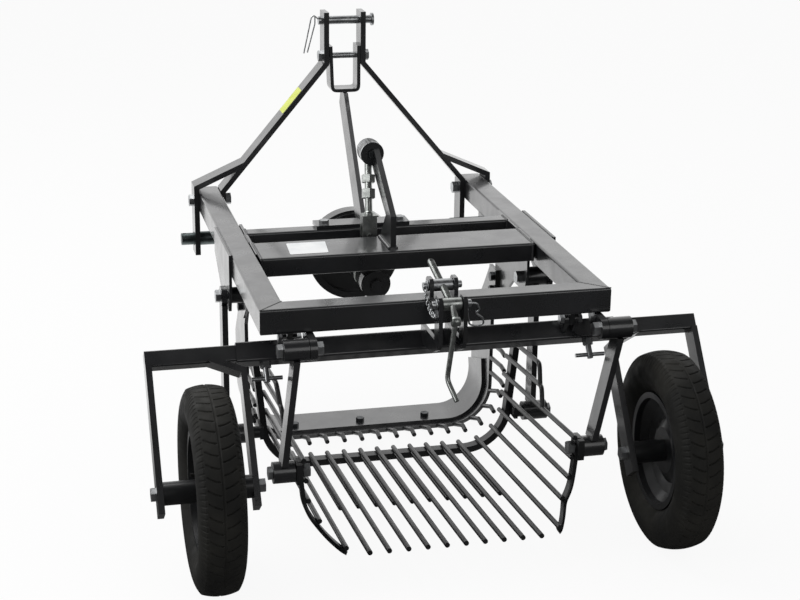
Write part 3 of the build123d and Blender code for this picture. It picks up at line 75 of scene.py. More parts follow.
class Shape:
    """Closed surfaces gathered into one mesh."""

    def __init__(self):
        self.points = []
        self.faces = []
        self.count = 0

    def tube(self, rings):
        """Rings of points [ring, point, 3] joined in order, with a flat end at each side."""
        rows, columns = rings.shape[:2]
        first = self.count
        self.faces += grid_faces(rows, columns, first=first).tolist()
        self.faces.append(list(range(first, first + columns)))
        self.faces.append(list(range(first + (rows - 1) * columns, first + rows * columns)))
        self.points.append(rings.reshape(-1, 3))
        self.count += rows * columns
        return self

    def ring(self, rings):
        """Rings of points [ring, point, 3] whose last joins the first."""
        rows, columns = rings.shape[:2]
        self.faces += grid_faces(rows, columns, ring_rows=True, first=self.count).tolist()
        self.points.append(rings.reshape(-1, 3))
        self.count += rows * columns
        return self

    def piece(self, name, body, finish, slot, sharp=40.0):
        """The mesh as an object at the origin, riding on a body, smooth up to an angle in degrees."""
        mesh = bpy.data.meshes.new(name)
        mesh.from_pydata(metres(np.concatenate(self.points)).tolist(), [], self.faces)
        work = bmesh.new()
        work.from_mesh(mesh)
        bmesh.ops.recalc_face_normals(work, faces=work.faces)
        work.to_mesh(mesh)
        work.free()
        mesh.shade_smooth()
        mesh.set_sharp_from_angle(angle=math.radians(sharp))
        made = bpy.data.objects.new(name, mesh)
        bpy.context.scene.collection.objects.link(made)
        made.data.materials.append(finish)
        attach(made, body)
        return made


def unit(v):
    """Vectors along the last axis, at length one."""
    v = np.asarray(v, float)
    return v / np.linalg.norm(v, axis=-1, keepdims=True)


def frames(path, up):
    """Two unit vectors square to a path at each point.

    beside is the direction crossed with up, and above is beside crossed with the direction.
    """
    direction = unit(np.gradient(path, axis=0))
    beside = unit(np.cross(direction, up))
    return beside, np.cross(beside, direction)


def carried(path, radius, sides, up):
    """Round profile carried along a path: p + r (cos a beside + sin a above); r may change along it."""
    path = np.asarray(path, float)
    beside, above = frames(path, up)
    a = np.linspace(0, 2 * math.pi, sides, endpoint=False)[None, :, None]
    r = np.broadcast_to(np.asarray(radius, float), len(path))[:, None, None]
    return path[:, None, :] + r * (np.cos(a) * beside[:, None, :] + np.sin(a) * above[:, None, :])


def resampled(corners, step):
    """Points at an even step along the straight runs between corners."""
    corners = np.asarray(corners, float)
    runs = np.linalg.norm(np.diff(corners, axis=0), axis=1)
    along = np.concatenate([[0], np.cumsum(runs)])
    at = np.linspace(0, along[-1], max(int(along[-1] / step), 2) + 1)
    return np.stack([np.interp(at, along, corners[:, i]) for i in range(3)], axis=1)


def softened(path, passes):
    """The path with its inner points averaged with their neighbours, which rounds its corners."""
    for _ in range(passes):
        path = path.copy()
        path[1:-1] = (path[:-2] + 2 * path[1:-1] + path[2:]) / 4
    return path


def turned(start, end, stations, sides=48, hexagon=()):
    """Bar turned about the line from start to end: p + distance along it + radius (cos a, sin a) round it.

    stations are (distance, radius) pairs. A section whose number is in hexagon is six-sided, at
    radius / cos(angle from the nearest flat's middle).
    """
    start = np.asarray(start, float)
    axis = unit(np.asarray(end, float) - start)
    up = (0, 0, 1) if abs(axis[2]) < 0.9 else (1, 0, 0)
    beside = unit(np.cross(axis, up))
    above = np.cross(beside, axis)
    a = np.linspace(0, 2 * math.pi, sides, endpoint=False)
    six_sided = 1 / np.cos((a + math.pi / 6) % (math.pi / 3) - math.pi / 6)
    rings = []
    for number, (along, radius) in enumerate(stations):
        wide = radius * (six_sided if number in hexagon else np.ones(sides))
        spoke = np.cos(a)[:, None] * beside + np.sin(a)[:, None] * above
        rings.append(start + axis * along + wide[:, None] * spoke)
    return np.stack(rings)


# ---------------------------------------------------------------- finishes
def linear(code):
    """Linear colour of an sRGB hex code."""
    srgb = np.array([int(code[i:i + 2], 16) for i in (1, 3, 5)]) / 255
    curve = np.where(srgb <= 0.04045, srgb / 12.92, ((srgb + 0.055) / 1.055) ** 2.4)
    return (*curve.tolist(), 1.0)


def add(tree, kind, inputs=None, **settings):
    """A node with its settings; inputs holds values, or the sockets that feed them."""
    made = tree.nodes.new(kind)
    for key, value in settings.items():
        setattr(made, key, value)
    for key, value in (inputs or {}).items():
        if isinstance(value, bpy.types.NodeSocket):
            tree.links.new(value, made.inputs[key])
        else:
            made.inputs[key].default_value = value
    return made


def new_finish(name):
    """Empty material with its shader and output; gives (material, tree, shader)."""
    finish = bpy.data.materials.new(name)
    finish.use_nodes = True
    tree = finish.node_tree
    tree.nodes.clear()
    shader = tree.nodes.new("ShaderNodeBsdfPrincipled")
    add(tree, "ShaderNodeOutputMaterial", {"Surface": shader.outputs["BSDF"]})
    return finish, tree, shader


def between(tree, factor, low, high):
    """Colour ramp from one hex colour to another over a factor."""
    ramp = add(tree, "ShaderNodeValToRGB", {"Fac": factor})
    ramp.color_ramp.elements[0].color = linear(low)
    ramp.color_ramp.elements[1].color = linear(high)
    return ramp.outputs["Color"]


def span(tree, factor, low, high):
    """Factor from 0 to 1 stretched from low to high."""
    stretch = add(tree, "ShaderNodeMapRange", {"Value": factor, "To Min": low, "To Max": high})
    return stretch.outputs["Result"]


NOISE_RANGE = (0.35, 0.65)         # where most of a noise texture's values lie


def grain(tree, size_mm, detail=3.0):
    """Noise whose blotches are about size_mm across, stretched to between 0 and 1."""
    place = add(tree, "ShaderNodeTexCoord").outputs["Object"]
    noise = add(tree, "ShaderNodeTexNoise", {"Vector": place, "Scale": 500 / size_mm, "Detail": detail})
    stretch = {"Value": noise.outputs["Fac"], "From Min": NOISE_RANGE[0], "From Max": NOISE_RANGE[1]}
    return add(tree, "ShaderNodeMapRange", stretch).outputs["Result"]


def bumped(tree, shader, height, depth_mm, strength):
    """Bump of a depth in millimetres on the shader's normal."""
    inputs = {"Height": height, "Distance": depth_mm / 1000, "Strength": strength}
    bump = add(tree, "ShaderNodeBump", inputs)
    tree.links.new(bump.outputs["Normal"], shader.inputs["Normal"])


def powder_coat(name, low, high, roughness, peel_mm, ior=1.7, gloss=0.8):
    """Powder coat baked on steel: a fine orange peel, and gloss that varies a little with its thickness.

    The colour drifts over 60 mm and the roughness over 25 mm. The peel is 0.06 mm deep.
    """
    finish, tree, shader = new_finish(name)
    tree.links.new(between(tree, grain(tree, 60), low, high), shader.inputs["Base Color"])
    tree.links.new(span(tree, grain(tree, 25), *roughness), shader.inputs["Roughness"])
    bumped(tree, shader, grain(tree, peel_mm, 2.0), 0.06, 0.35)
    shader.inputs["IOR"].default_value = ior
    shader.inputs["Coat Weight"].default_value = gloss
    shader.inputs["Coat Roughness"].default_value = 0.12
    return finish


def plated(name, low, high, roughness):
    """Plated or drawn steel: bright metal with faint stains 9 mm across, and a skin 0.03 mm deep.

    The skin's grain, 1.2 mm across, is coarser than the real one, so that it shows.
    """
    finish, tree, shader = new_finish(name)
    tree.links.new(between(tree, grain(tree, 9), low, high), shader.inputs["Base Color"])
    tree.links.new(span(tree, grain(tree, 5), *roughness), shader.inputs["Roughness"])
    bumped(tree, shader, grain(tree, 1.2, 2.0), 0.03, 0.3)
    shader.inputs["Metallic"].default_value = 1.0
    return finish


def moulded_rubber(name, low, high):
    """Vulcanised tyre rubber: matt black with a brownish bloom and a pitted skin.

    The pits, 1.6 mm across, are coarser than the real ones, so that they show.
    """
    finish, tree, shader = new_finish(name)
    tree.links.new(between(tree, grain(tree, 45), low, high), shader.inputs["Base Color"])
    tree.links.new(span(tree, grain(tree, 12), 0.62, 0.8), shader.inputs["Roughness"])
    bumped(tree, shader, grain(tree, 1.6, 3.0), 0.12, 0.5)
    shader.inputs["IOR"].default_value = 1.36
    return finish


def vinyl_film(name, low, high):
    """Printed vinyl film: an even colour with a soft gloss and a few faint scuffs."""
    finish, tree, shader = new_finish(name)
    tree.links.new(between(tree, grain(tree, 14), low, high), shader.inputs["Base Color"])
    tree.links.new(span(tree, grain(tree, 6), 0.38, 0.5), shader.inputs["Roughness"])
    return finish


# Sprayed and baked on the frame: a deep black whose flats catch the light softly.
black_coat = powder_coat("satin_black_powder_coat", "#121315", "#191a1d", (0.26, 0.38), 2.2)
# Dipped on the rods, the hoop and the rims: thinner and flatter, so a rod shows one narrow light.
rod_coat = powder_coat("dipped_black_enamel", "#101112", "#17181a", (0.34, 0.46), 2.2, 1.5, 0.25)
# The same powder over a bead: greyer, because the coat is thin on the ripples.
bead_coat = powder_coat("powder_coat_over_weld", "#141517", "#1f2023", (0.26, 0.36), 3.5)
# Enamel on a sand casting: a coarser skin with a duller shine.
iron_coat = powder_coat("enamelled_cast_iron", "#17181a", "#232427", (0.34, 0.48), 3.0)
# Electroplated fittings: a pale, cool metal with soft stains.
zinc = plated("bright_zinc_plate", "#a6a8aa", "#c6c8c9", (0.28, 0.42))
# Drawn bar without paint: as bright as the zinc, and a little warmer.
drawn_steel = plated("drawn_bright_steel", "#a2a6a3", "#c2c5c2", (0.26, 0.4))
# Blued bolts and shafts: dark metal that still mirrors the room.
dark_steel = plated("blued_shaft_steel", "#3c3e40", "#5a5c5e", (0.3, 0.45))
# Machined pins under a film of oil: mid grey with a green cast.
oiled_steel = plated("oiled_hitch_steel", "#4c5353", "#6e7676", (0.3, 0.42))
# Moulded and cured in a press: matt, and never quite black.
rubber = moulded_rubber("vulcanised_tyre_rubber", "#141412", "#201f1b")
# Printed vinyl without its print: a flat white and a flat lime green with a soft gloss.
label_film = vinyl_film("white_vinyl_label", "#e6e8e9", "#f1f2f2")
sticker_film = vinyl_film("lime_vinyl_sticker", "#c3cf4c", "#d6de6a")

SLOT_FINISH = {
    "black_paint": black_coat,
    "zinc_plate": zinc,
    "bright_steel": drawn_steel,
    "cast_iron_black": iron_coat,
    "tyre_rubber": rubber,
}
OWN_FINISH = {
    "share_tines": rod_coat,
    "sieve_tines": rod_coat,
    "sieve_hoop": rod_coat,
    "rim_left": rod_coat,
    "rim_right": rod_coat,
    "share_bolts": dark_steel,
    "hitch_pins": oiled_steel,
    "pto_shaft": dark_steel,
}
for part in frame["record"]["subparts"]:
    dressed = frame["nodes"][part["node"]]
    dressed.data.materials.clear()
    dressed.data.materials.append(OWN_FINISH.get(part["node"], SLOT_FINISH[part["material_slot"]]))

# ---------------------------------------------------------------- tyres
WHEEL = (452.0, -75.0, -318.0)     # middle of the right wheel
TYRE_R = 196.0
TYRE_HALF = 44.0                   # half of the tyre's width at its walls
WIDEST_R = 152.0                   # radius at which the walls are widest
RIM_R = 108.0
BEAD_X = 26.0                      # half of the width at the rim
BEAD_STEP = 8.0                    # the outer wall starts this far above the rim
RIM_GAP = 0.5                      # and the inside stands this far off it
TREAD_HALF = 33.0
CROWN = 6.0                        # drop from the middle of the tread to its edges
INNER_WALL = [(19, RIM_R + RIM_GAP), (19, 125), (36, WIDEST_R), (26, 183)]    # (x, radius)
ROUND = 1040                       # points round the tyre: ten to each lug
SIPE_PITCH = 2 * math.pi / 52      # about 24 mm round the tread
SIPE_HALF = 0.075                  # half of a sipe's width, as a share of its pitch
SIPE_ARCH = 0.085                  # radians by which a sipe runs on at the tread's edge
SIPE_EDGE = 1.4                    # over 1, a sipe has a flat bottom between steep walls
SIPE_X = (3.0, 28.0)               # sipes run between these distances from the middle line
LUG_PITCH = 2 * math.pi / 104
LUG_HALF = 0.14                    # half of the gap between two shoulder lugs, as a share of their pitch
LUG_X = 30.0                       # the gaps start here, and end at the radius LUG_R
LUG_R = 178.0
LUG_DEPTH = 1.4
GROOVE = 2.4
LINE_HALF = 1.4                    # half of the groove round the middle, and its share of GROOVE
LINE_SHARE = 0.45
RIB_R = (168.0, 126.0)             # radii of two raised lines round each wall
RIB_HALF = 2.0
RIB_RISE = 0.8 / 60                # share by which a line lies further out


def wheel_middle(side):
    """Middle of the wheel on a side: -1 for the left one and 1 for the right one."""
    return np.array([side * WHEEL[0], WHEEL[1], WHEEL[2]])


def arc(start, middle, end, count):
    """Points of the circle through three points, from the first to the last."""
    (x1, y1), (x2, y2), (x3, y3) = start, middle, end
    square = np.array([x1 * x1 + y1 * y1, x2 * x2 + y2 * y2, x3 * x3 + y3 * y3])
    across = 2 * np.array([[x1 - x2, y1 - y2], [x1 - x3, y1 - y3]])
    centre = np.linalg.solve(across, [square[0] - square[1], square[0] - square[2]])
    spokes = np.array([start, middle, end]) - centre
    first, _, last = np.unwrap(np.arctan2(spokes[:, 1], spokes[:, 0]))
    a = np.linspace(first, last, count)
    return centre + np.linalg.norm(spokes[0]) * np.stack([np.cos(a), np.sin(a)], axis=1)


def tyre(side):
    """Tyre: its section turned about the axle, less the tread's depth at (angle, x).

    The depth is GROOVE along arched sipes, where angle + SIPE_ARCH (x / TREAD_HALF) squared is half a
    pitch past a whole pitch, and half a pitch more on the outer half of the tread. It is less in the
    line round the middle and in the gaps between the shoulders' lugs.
    """
    wall = arc((-BEAD_X, RIM_R + BEAD_STEP), (-TYRE_HALF, WIDEST_R), (-TREAD_HALF, TYRE_R - CROWN), 16)
    crown = arc((-TREAD_HALF, TYRE_R - CROWN), (0, TYRE_R), (TREAD_HALF, TYRE_R - CROWN), 40)
    mirror = wall[::-1] * (-1, 1)
    inner = np.array([(BEAD_X, RIM_R + RIM_GAP), *INNER_WALL])
    section = np.concatenate([wall[:-1], crown, mirror[1:], inner, inner[::-1] * (-1, 1)])
    x = section[:, 0][None, :]
    radius = section[:, 1][None, :]
    angle = np.linspace(0, 2 * math.pi, ROUND, endpoint=False)[:, None]
    outside = np.arange(section.shape[0])[None, :] < len(wall) + len(crown) + len(mirror) - 2
    arch = SIPE_ARCH * (x / TREAD_HALF) ** 2
    stagger = np.where(x > 0, SIPE_PITCH / 2, 0)
    sipe = 1 - np.abs((angle + arch + stagger) / SIPE_PITCH % 1 - 0.5) / SIPE_HALF
    sipe = np.clip(SIPE_EDGE * sipe, 0, 1) * (np.abs(x) > SIPE_X[0]) * (np.abs(x) < SIPE_X[1])
    in_gap = np.abs(angle / LUG_PITCH % 1 - 0.5) < LUG_HALF
    at_lug = in_gap & (np.abs(x) >= LUG_X) & (radius > LUG_R)
    line = LINE_SHARE * (np.abs(x) < LINE_HALF)
    depth = GROOVE * np.maximum(sipe, line) + np.where(at_lug, LUG_DEPTH, 0)
    depth = np.where(outside, depth, 0)
    at_rib = outside & ((np.abs(radius - RIB_R[0]) < RIB_HALF) | (np.abs(radius - RIB_R[1]) < RIB_HALF))
    out = radius - depth
    x_out = x * (1 + np.where(at_rib, RIB_RISE, 0))
    points = np.stack([x_out + 0 * angle, out * np.cos(angle), out * np.sin(angle)], axis=2)
    return Shape().ring(points * (side, 1, 1) + wheel_middle(side))


for side, name in ((-1, "left"), (1, "right")):
    tread = tyre(side).piece("tyre_tread_" + name, "wheel_" + name, rubber, "tyre_rubber", 30)
    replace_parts(tread, "tyre_" + name)

# ---------------------------------------------------------------- wheel discs: paired bolts and a valve
BOLT_CIRCLE_R = 43.0
BOLT_OFFSET = 0.17                 # radians from a pair's middle to each of its bolts
BOLT_IN = 5.0                      # the disc's face lies this far inside the wheel's middle
BOLT_HEAD = [(0, 9), (1.5, 9), (1.5, 6.5), (6.2, 6.5), (7, 5.8)]    # washer, then a six-sided head
VALVE_R = 74.0
VALVE_OUT = 4.0                    # its foot lies this far outside the wheel's middle
VALVE_STEM = [(0, 6), (4, 6), (8, 3.6), (24, 3.6), (26, 2.8)]    # (distance, radius), as all stations

for side, name in ((-1, "left"), (1, "right")):
    outwards = (side, 0, 0)
    bolts = Shape()
    for turn in np.arange(4) * math.pi / 2 + math.pi / 4:
        for offset in (-BOLT_OFFSET, BOLT_OFFSET):
            spoke = np.array([0, math.cos(turn + offset), math.sin(turn + offset)])
            foot = wheel_middle(side) - (side * BOLT_IN, 0, 0) + BOLT_CIRCLE_R * spoke
            bolts.tube(turned(foot, foot + outwards, BOLT_HEAD, 24, (2, 3)))
    bolts.piece("disc_bolts_" + name, "wheel_" + name, zinc, "zinc_plate", 25)
    foot = wheel_middle(side) + (side * VALVE_OUT, VALVE_R, 0)
    stem = Shape().tube(turned(foot, foot + outwards, VALVE_STEM, 20))
    stem.piece("valve_" + name, "wheel_" + name, rubber, "tyre_rubber")

# ---------------------------------------------------------------- depth screw
SCREW_DIR = unit([0, -70, -16])    # from the nut down to the low trunnion
NUT = np.array([11.0, 25.0, 20.0])
LOW = np.array([11.0, -45.0, 4.0])
SCREW_R = 7.0
THREAD_PITCH = 3.0
THREAD_DEPTH = 1.3
THREAD_LEAD = 1.5                  # the thread fades out over this length at each end
PER_TURN = 4                       # rings of points to one turn of the thread
THREAD_AHEAD = 92.0                # thread in front of the nut
CRANK_R = 5.0
crank_eye = LOW + (0, -32, -24)    # the crank hangs from here, bends, and ends in a slanted grip
crank_bend = LOW + SCREW_DIR * 34 + (-16, -4, -128)
crank_end = crank_bend + (12, -30, -34)
COLLAR = [(-18.5, 11), (-18, 12), (18, 12), (18.5, 11)]      # trunnion across the screw
EYE_BARREL = [(0, 8.5), (1, 9.5), (15, 9.5), (16, 8.5)]      # barrel that holds the crank


def threaded(start, end):
    """Threaded bar: a circle carried along a line, whose radius follows a screw's wave.

    At a distance s and an angle a it is SCREW_R - THREAD_DEPTH (1 + cos(2 pi s / THREAD_PITCH + a)) / 2,
    and less near both ends.
    """
    axis = unit(end - start)
    length = np.linalg.norm(end - start)
    s = np.linspace(0, length, int(length / THREAD_PITCH * PER_TURN) + 1)[:, None]
    a = np.linspace(0, 2 * math.pi, 24, endpoint=False)[None, :]
    near_end = np.minimum(np.minimum(s, length - s) / THREAD_LEAD, 1)
    wave = (1 + np.cos(2 * math.pi * s / THREAD_PITCH + a)) / 2
    r = SCREW_R - THREAD_DEPTH * wave - (1 - near_end) * THREAD_DEPTH
    beside = unit(np.cross(axis, (1, 0, 0) if abs(axis[0]) < 0.9 else (0, 0, 1)))
    above = np.cross(beside, axis)
    spoke = np.cos(a)[..., None] * beside + np.sin(a)[..., None] * above
    return start + s[..., None] * axis + r[..., None] * spoke


crank = softened(resampled([crank_eye, crank_bend, crank_end], 3), 12)
screw = Shape().tube(threaded(NUT - SCREW_DIR * THREAD_AHEAD, LOW - SCREW_DIR * 10))
neck = softened(resampled([LOW - SCREW_DIR * 12, LOW + SCREW_DIR * 8, crank_eye], 3), 6)
screw.tube(carried(neck, SCREW_R, 20, (1, 0, 0)))
screw.tube(turned(LOW, LOW + (1, 0, 0), COLLAR))
screw.tube(carried(crank, CRANK_R, 16, (1, 0, 0)))
screw.tube(turned(crank_eye - (8, 0, 0), crank_eye + (8, 0, 0), EYE_BARREL))
made = screw.piece("threaded_screw_and_crank", "screw", drawn_steel, "bright_steel", 50)
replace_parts(made, "depth_screw")

# ---------------------------------------------------------------- label and sticker
FILM_T = 0.5                       # drawn thicker than real film, so that its edge shows
CORNER_R = 4.0


def rounded_outline(corners):
    """Closed outline through four corners, each rounded off.

    A corner is c + before (1 - sin t) + after (1 - cos t) over a quarter turn of t, where before and
    after reach CORNER_R along its two edges.
    """
    corners = np.asarray(corners, float)
    before = unit(np.roll(corners, 1, axis=0) - corners) * CORNER_R
    after = unit(np.roll(corners, -1, axis=0) - corners) * CORNER_R
    t = np.linspace(0, math.pi / 2, 6)[None, :, None]
    turn = corners[:, None] + before[:, None] * (1 - np.sin(t)) + after[:, None] * (1 - np.cos(t))
    return turn.reshape(-1, 3)


def film(corners, name, finish):
    """Thin film on a flat face of the frame: an outline, and the same lifted along the face's normal."""
    low = rounded_outline(corners)
    lift = unit(np.cross(low[len(low) // 4] - low[0], low[len(low) // 2] - low[0])) * FILM_T
    return Shape().tube(np.stack([low, low + lift])).piece(name, "frame", finish, "black_paint")


film([(-226, 344, 0.1), (-146, 344, 0.1), (-138, 424, 0.1), (-221, 424, 0.1)], "label_blank", label_film)

A_SLOPE = unit([-246, 0, -292])    # down the left bar of the headstock, from its bend
A_OUT = np.array([A_SLOPE[2], 0, -A_SLOPE[0]])    # and out of its outer face
BAR_BEND = np.array([-43, 905, 290])
BAR_FACE = 6.1                     # half of the bar's thickness, and a hair more
STICKER_CORNERS = ((84, 22), (153, 22), (153, -22), (84, -22))    # (down the bar, across it)
bar_face = BAR_BEND + BAR_FACE * A_OUT
film([bar_face + A_SLOPE * along + (0, across, 0) for along, across in STICKER_CORNERS],
     "sticker_blank", sticker_film)

# ---------------------------------------------------------------- rings, pins, clips and a chain
BROKEN_EDGE = 0.6


def ringed(name, body, discs):
    """Washers and pin ends turned about their own lines: each is (start, direction, length, radius)."""
    shape = Shape()
    for start, direction, length, radius in discs:
        start = np.asarray(start, float)
        edge = min(BROKEN_EDGE, length / 3)
        profile = [(0, radius - edge), (edge, radius), (length - edge, radius), (length, radius - edge)]
        shape.tube(turned(start, start + unit(direction), profile, 36))
    shape.piece(name, body, zinc, "zinc_plate", 30)


def wire(name, body, radius, *runs):
    """Bent spring wire: a round profile carried along each run of points, with its corners rounded."""
    shape = Shape()
    for corners in runs:
        shape.tube(carried(softened(resampled(corners, 1.5), 5), radius, 10, (0.2, 1, 0.1)))
    shape.piece(name, body, zinc, "zinc_plate", 60)


TRUNNION_FACE = 28.3               # from the screw's line to the outer faces of its lugs
PIN_FACE = TRUNNION_FACE + 2.6
WASHER = (2.4, 11.0)               # length and radius
PIN_END = (7.0, 7.2)
for middle, body, name in ((NUT, "frame", "upper"), (LOW, "axle", "lower")):
    discs = []
    for side in (-1, 1):
        outwards = (side, 0, 0)
        discs.append((middle + (side * TRUNNION_FACE, 0, 0), outwards, *WASHER))
        discs.append((middle + (side * PIN_FACE, 0, 0), outwards, *PIN_END))
    ringed("trunnion_washers_" + name, body, discs)

wire("r_clip_right", "axle", 1.9,
     [(41, -45, 4), (60, -47, 3), (66, -48, -10), (57, -48, -16), (72, -48, -26), (74, -48, -38),
      (60, -48, -42), (46, -47, -38), (42, -46, -8)])
wire("hairpin_top", "frame", 1.6, [(-58, 905, 390), (-68, 905, 399), (-74, 905, 394), (-92, 905, 312)],
     [(-66, 903, 398), (-66, 903, 380), (-84, 903, 314)])

LINK_WIRE_R = 1.4
LINK_HALF = 5.0                    # half of a link's length, to the middle of its wire
LINK_WIDE = 3.4                    # and half of its width


def chain(name, body, start, end, links, sag):
    """Chain: oval rings of round wire, each turned a quarter about the run from the last.

    A link's line is (LINK_HALF cos a, LINK_WIDE sin a) in its own plane, and its wire is round about
    that line. At a share t of the run, the chain hangs sag 4 t (1 - t) under the straight line.
    """
    shape = Shape()
    t = (np.arange(links) + 0.5) / links
    places = np.asarray(start) + t[:, None] * (np.asarray(end, float) - start)
    places[:, 2] -= sag * 4 * t * (1 - t)
    along = unit(np.gradient(places, axis=0))
    for number, place in enumerate(places):
        axis = along[number]
        first = unit(np.cross(axis, (0, 1, 0)))
        second = np.cross(first, axis)
        if number % 2:
            first, second = second, first
        a = np.linspace(0, 2 * math.pi, 16, endpoint=False)[:, None]
        line = place + LINK_HALF * np.cos(a) * axis + LINK_WIDE * np.sin(a) * first
        outward = unit(line - place)
        b = np.linspace(0, 2 * math.pi, 8, endpoint=False)[None, :, None]
        shape.ring(line[:, None] + LINK_WIRE_R * (np.cos(b) * outward[:, None] + np.sin(b) * second))
    shape.piece(name, body, zinc, "zinc_plate", 60)


chain("pin_chain", "frame", (-26, 14, 22), (-19, -42, -22), 13, 14)

# ---------------------------------------------------------------- sides of the sieve
SIEVE_Y = 427.0                    # middle of the front hoop
SIEVE_FRONT = 443.0                # front ends of the rods
SIEVE_HALF = 255.0                 # where the sides' lines meet the bottom's
SIEVE_SLOPE = 0.1                  # the sides' lean, out over up
SIEVE_BOTTOM = -489.0
SIEVE_R = 88.0
SIEVE_RISE = 0.089                 # rods rise towards the back
ROD_R = 5.0
ROW_T = 210.8 + 42.5 * np.arange(7)        # lengths along the U from its middle to each side rod
STRAIGHT_ROWS = 5                  # the rods above these are bent down
BEND_Y = (190.0, 222.0)            # where those two bend
BEND_RUN = 22.0                    # and how far behind the bend their ends are
STRAP_W = 20.0
STRAP_T = 8.0
STRAP_TOP = 382.0                  # length along the U, from its middle
STRAP_PAST = 4.0                   # the strap's foot is this far below the lowest rod
STRAP_Y = (-133.0, -44.0, -28.0, -28.0)    # strap's middle at the three lowest rows and at its top
STRAP_SINK = 0.3                   # the strap's face is welded this far into the rods
PIVOT = (-28.0, -316.0)            # (Y, Z) of the sieve's pivot at the back
PIVOT_PLATE = (24.0, 22.0)         # half of the pivot plate's length and height
PLATE_T = 12.0
SQUARENESS = 0.8                   # 0 gives an oval and 1 a rectangle
BAR_EDGE = (0.94, 0.75)            # a bar's edges are broken from these shares of its width and thickness


def u_at(t):
    """Points and outward normals of the rods' U at lengths t from its middle, at the front hoop.

    A straight bottom, then an arc of SIEVE_R, then a side that leans out by SIEVE_SLOPE.
    """
    lean = math.atan2(1, SIEVE_SLOPE)
    straight = SIEVE_HALF - SIEVE_R * math.tan(lean / 2)
    turn = np.clip((t - straight) / SIEVE_R, 0, lean)
    over = np.maximum(t - straight - SIEVE_R * lean, 0)
    x = np.minimum(t, straight) + SIEVE_R * np.sin(turn) + over * math.cos(lean)
    z = SIEVE_BOTTOM + SIEVE_R * (1 - np.cos(turn)) + over * math.sin(lean)
    normal = np.stack([np.sin(turn), 0 * turn, -np.cos(turn)], axis=-1)
    return np.stack([x, SIEVE_Y + 0 * x, z], axis=-1), normal


def at_y(points, y):
    """Points of the rods' U moved along the rods to a distance Y, rising by SIEVE_RISE."""
    moved = points.copy()
    moved[..., 1] = y
    moved[..., 2] -= (y - SIEVE_Y) * SIEVE_RISE
    return moved


def flat_bar(path, normal, width, thickness):
    """Flat bar carried along a path: p + (a width / 2) along Y + (b thickness / 2) along its normal.

    The eight pairs (a, b) go round a rectangle with its edges broken.
    """
    across = np.array([0, width / 2, 0])
    out = normal * thickness / 2
    wide, high = BAR_EDGE
    corners = [(1, high), (wide, 1), (-wide, 1), (-1, high), (-1, -high), (-wide, -1), (wide, -1), (1, -high)]
    return np.stack([path + a * across + b * out for a, b in corners], axis=1)


def sieve_rods():
    """Side rods of the right side: straight bars that end at the strap's back edge, and two bent ones.

    A bent rod runs along its row, and then down and back onto the row under it.
    """
    shape = Shape()
    row, _ = u_at(ROW_T)
    strap_y = np.interp(ROW_T, ROW_T[[0, 1, 2, -1]], STRAP_Y)
    for number in range(STRAIGHT_ROWS):
        front = at_y(row[number], SIEVE_FRONT)
        back = at_y(row[number], strap_y[number] - STRAP_W / 2)
        shape.tube(turned(front, back, rod_ends(np.linalg.norm(back - front)), 20))
    for number, bend in enumerate(BEND_Y, STRAIGHT_ROWS):
        corners = [at_y(row[number], SIEVE_FRONT), at_y(row[number], bend),
                   at_y(row[number - 1], bend - BEND_RUN)]
        shape.tube(carried(softened(resampled(corners, 4), 6), ROD_R, 20, (1, 0, 0.2)))
    return shape


def rod_ends(length):
    """Stations of a cut rod, with its ends' edges broken."""
    return [(0, ROD_R - 1), (1, ROD_R), (length - 1, ROD_R), (length, ROD_R - 1)]


def rear_strap():
    """Strap of the right side, carried round the outside of the rods' ends, and its pivot plate.

    The strap's middle lies on the rods' U, moved along the rods to STRAP_Y and out by a rod's radius
    and half of its own thickness. The plate's outline is an oval divided by max(|cos a|, |sin a|)
    raised to SQUARENESS, which squares it.
    """
    t = np.linspace(ROW_T[0] - STRAP_PAST, STRAP_TOP, 90)
    y = np.interp(t, [*ROW_T[:3], STRAP_TOP], STRAP_Y)
    points, normal = u_at(t)
    path = softened(at_y(points, y) + normal * (ROD_R - STRAP_SINK + STRAP_T / 2), 12)
    shape = Shape().tube(flat_bar(path, normal, STRAP_W, STRAP_T))
    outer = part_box("sieve_strap_right")[1].x * 1000 - DATUM[0] * 1000
    a = np.linspace(0, 2 * math.pi, 48, endpoint=False)
    square = np.maximum(np.abs(np.cos(a)), np.abs(np.sin(a))) ** SQUARENESS
    oval = np.stack([0 * a, PIVOT_PLATE[0] * np.cos(a), PIVOT_PLATE[1] * np.sin(a)], axis=1)
    outline = oval / square[:, None]
    return shape.tube(np.stack([(x, *PIVOT) + outline for x in (outer - PLATE_T, outer)]))


for side, name in ((-1, "left"), (1, "right")):
    for node, shape in (("sieve_side_rods_", sieve_rods()), ("sieve_strap_", rear_strap())):
        shape.points = [part * (side, 1, 1) for part in shape.points]
        made = shape.piece(node + "bent_" + name, "sieve", rod_coat, "black_paint", 35)
        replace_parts(made, node + name)

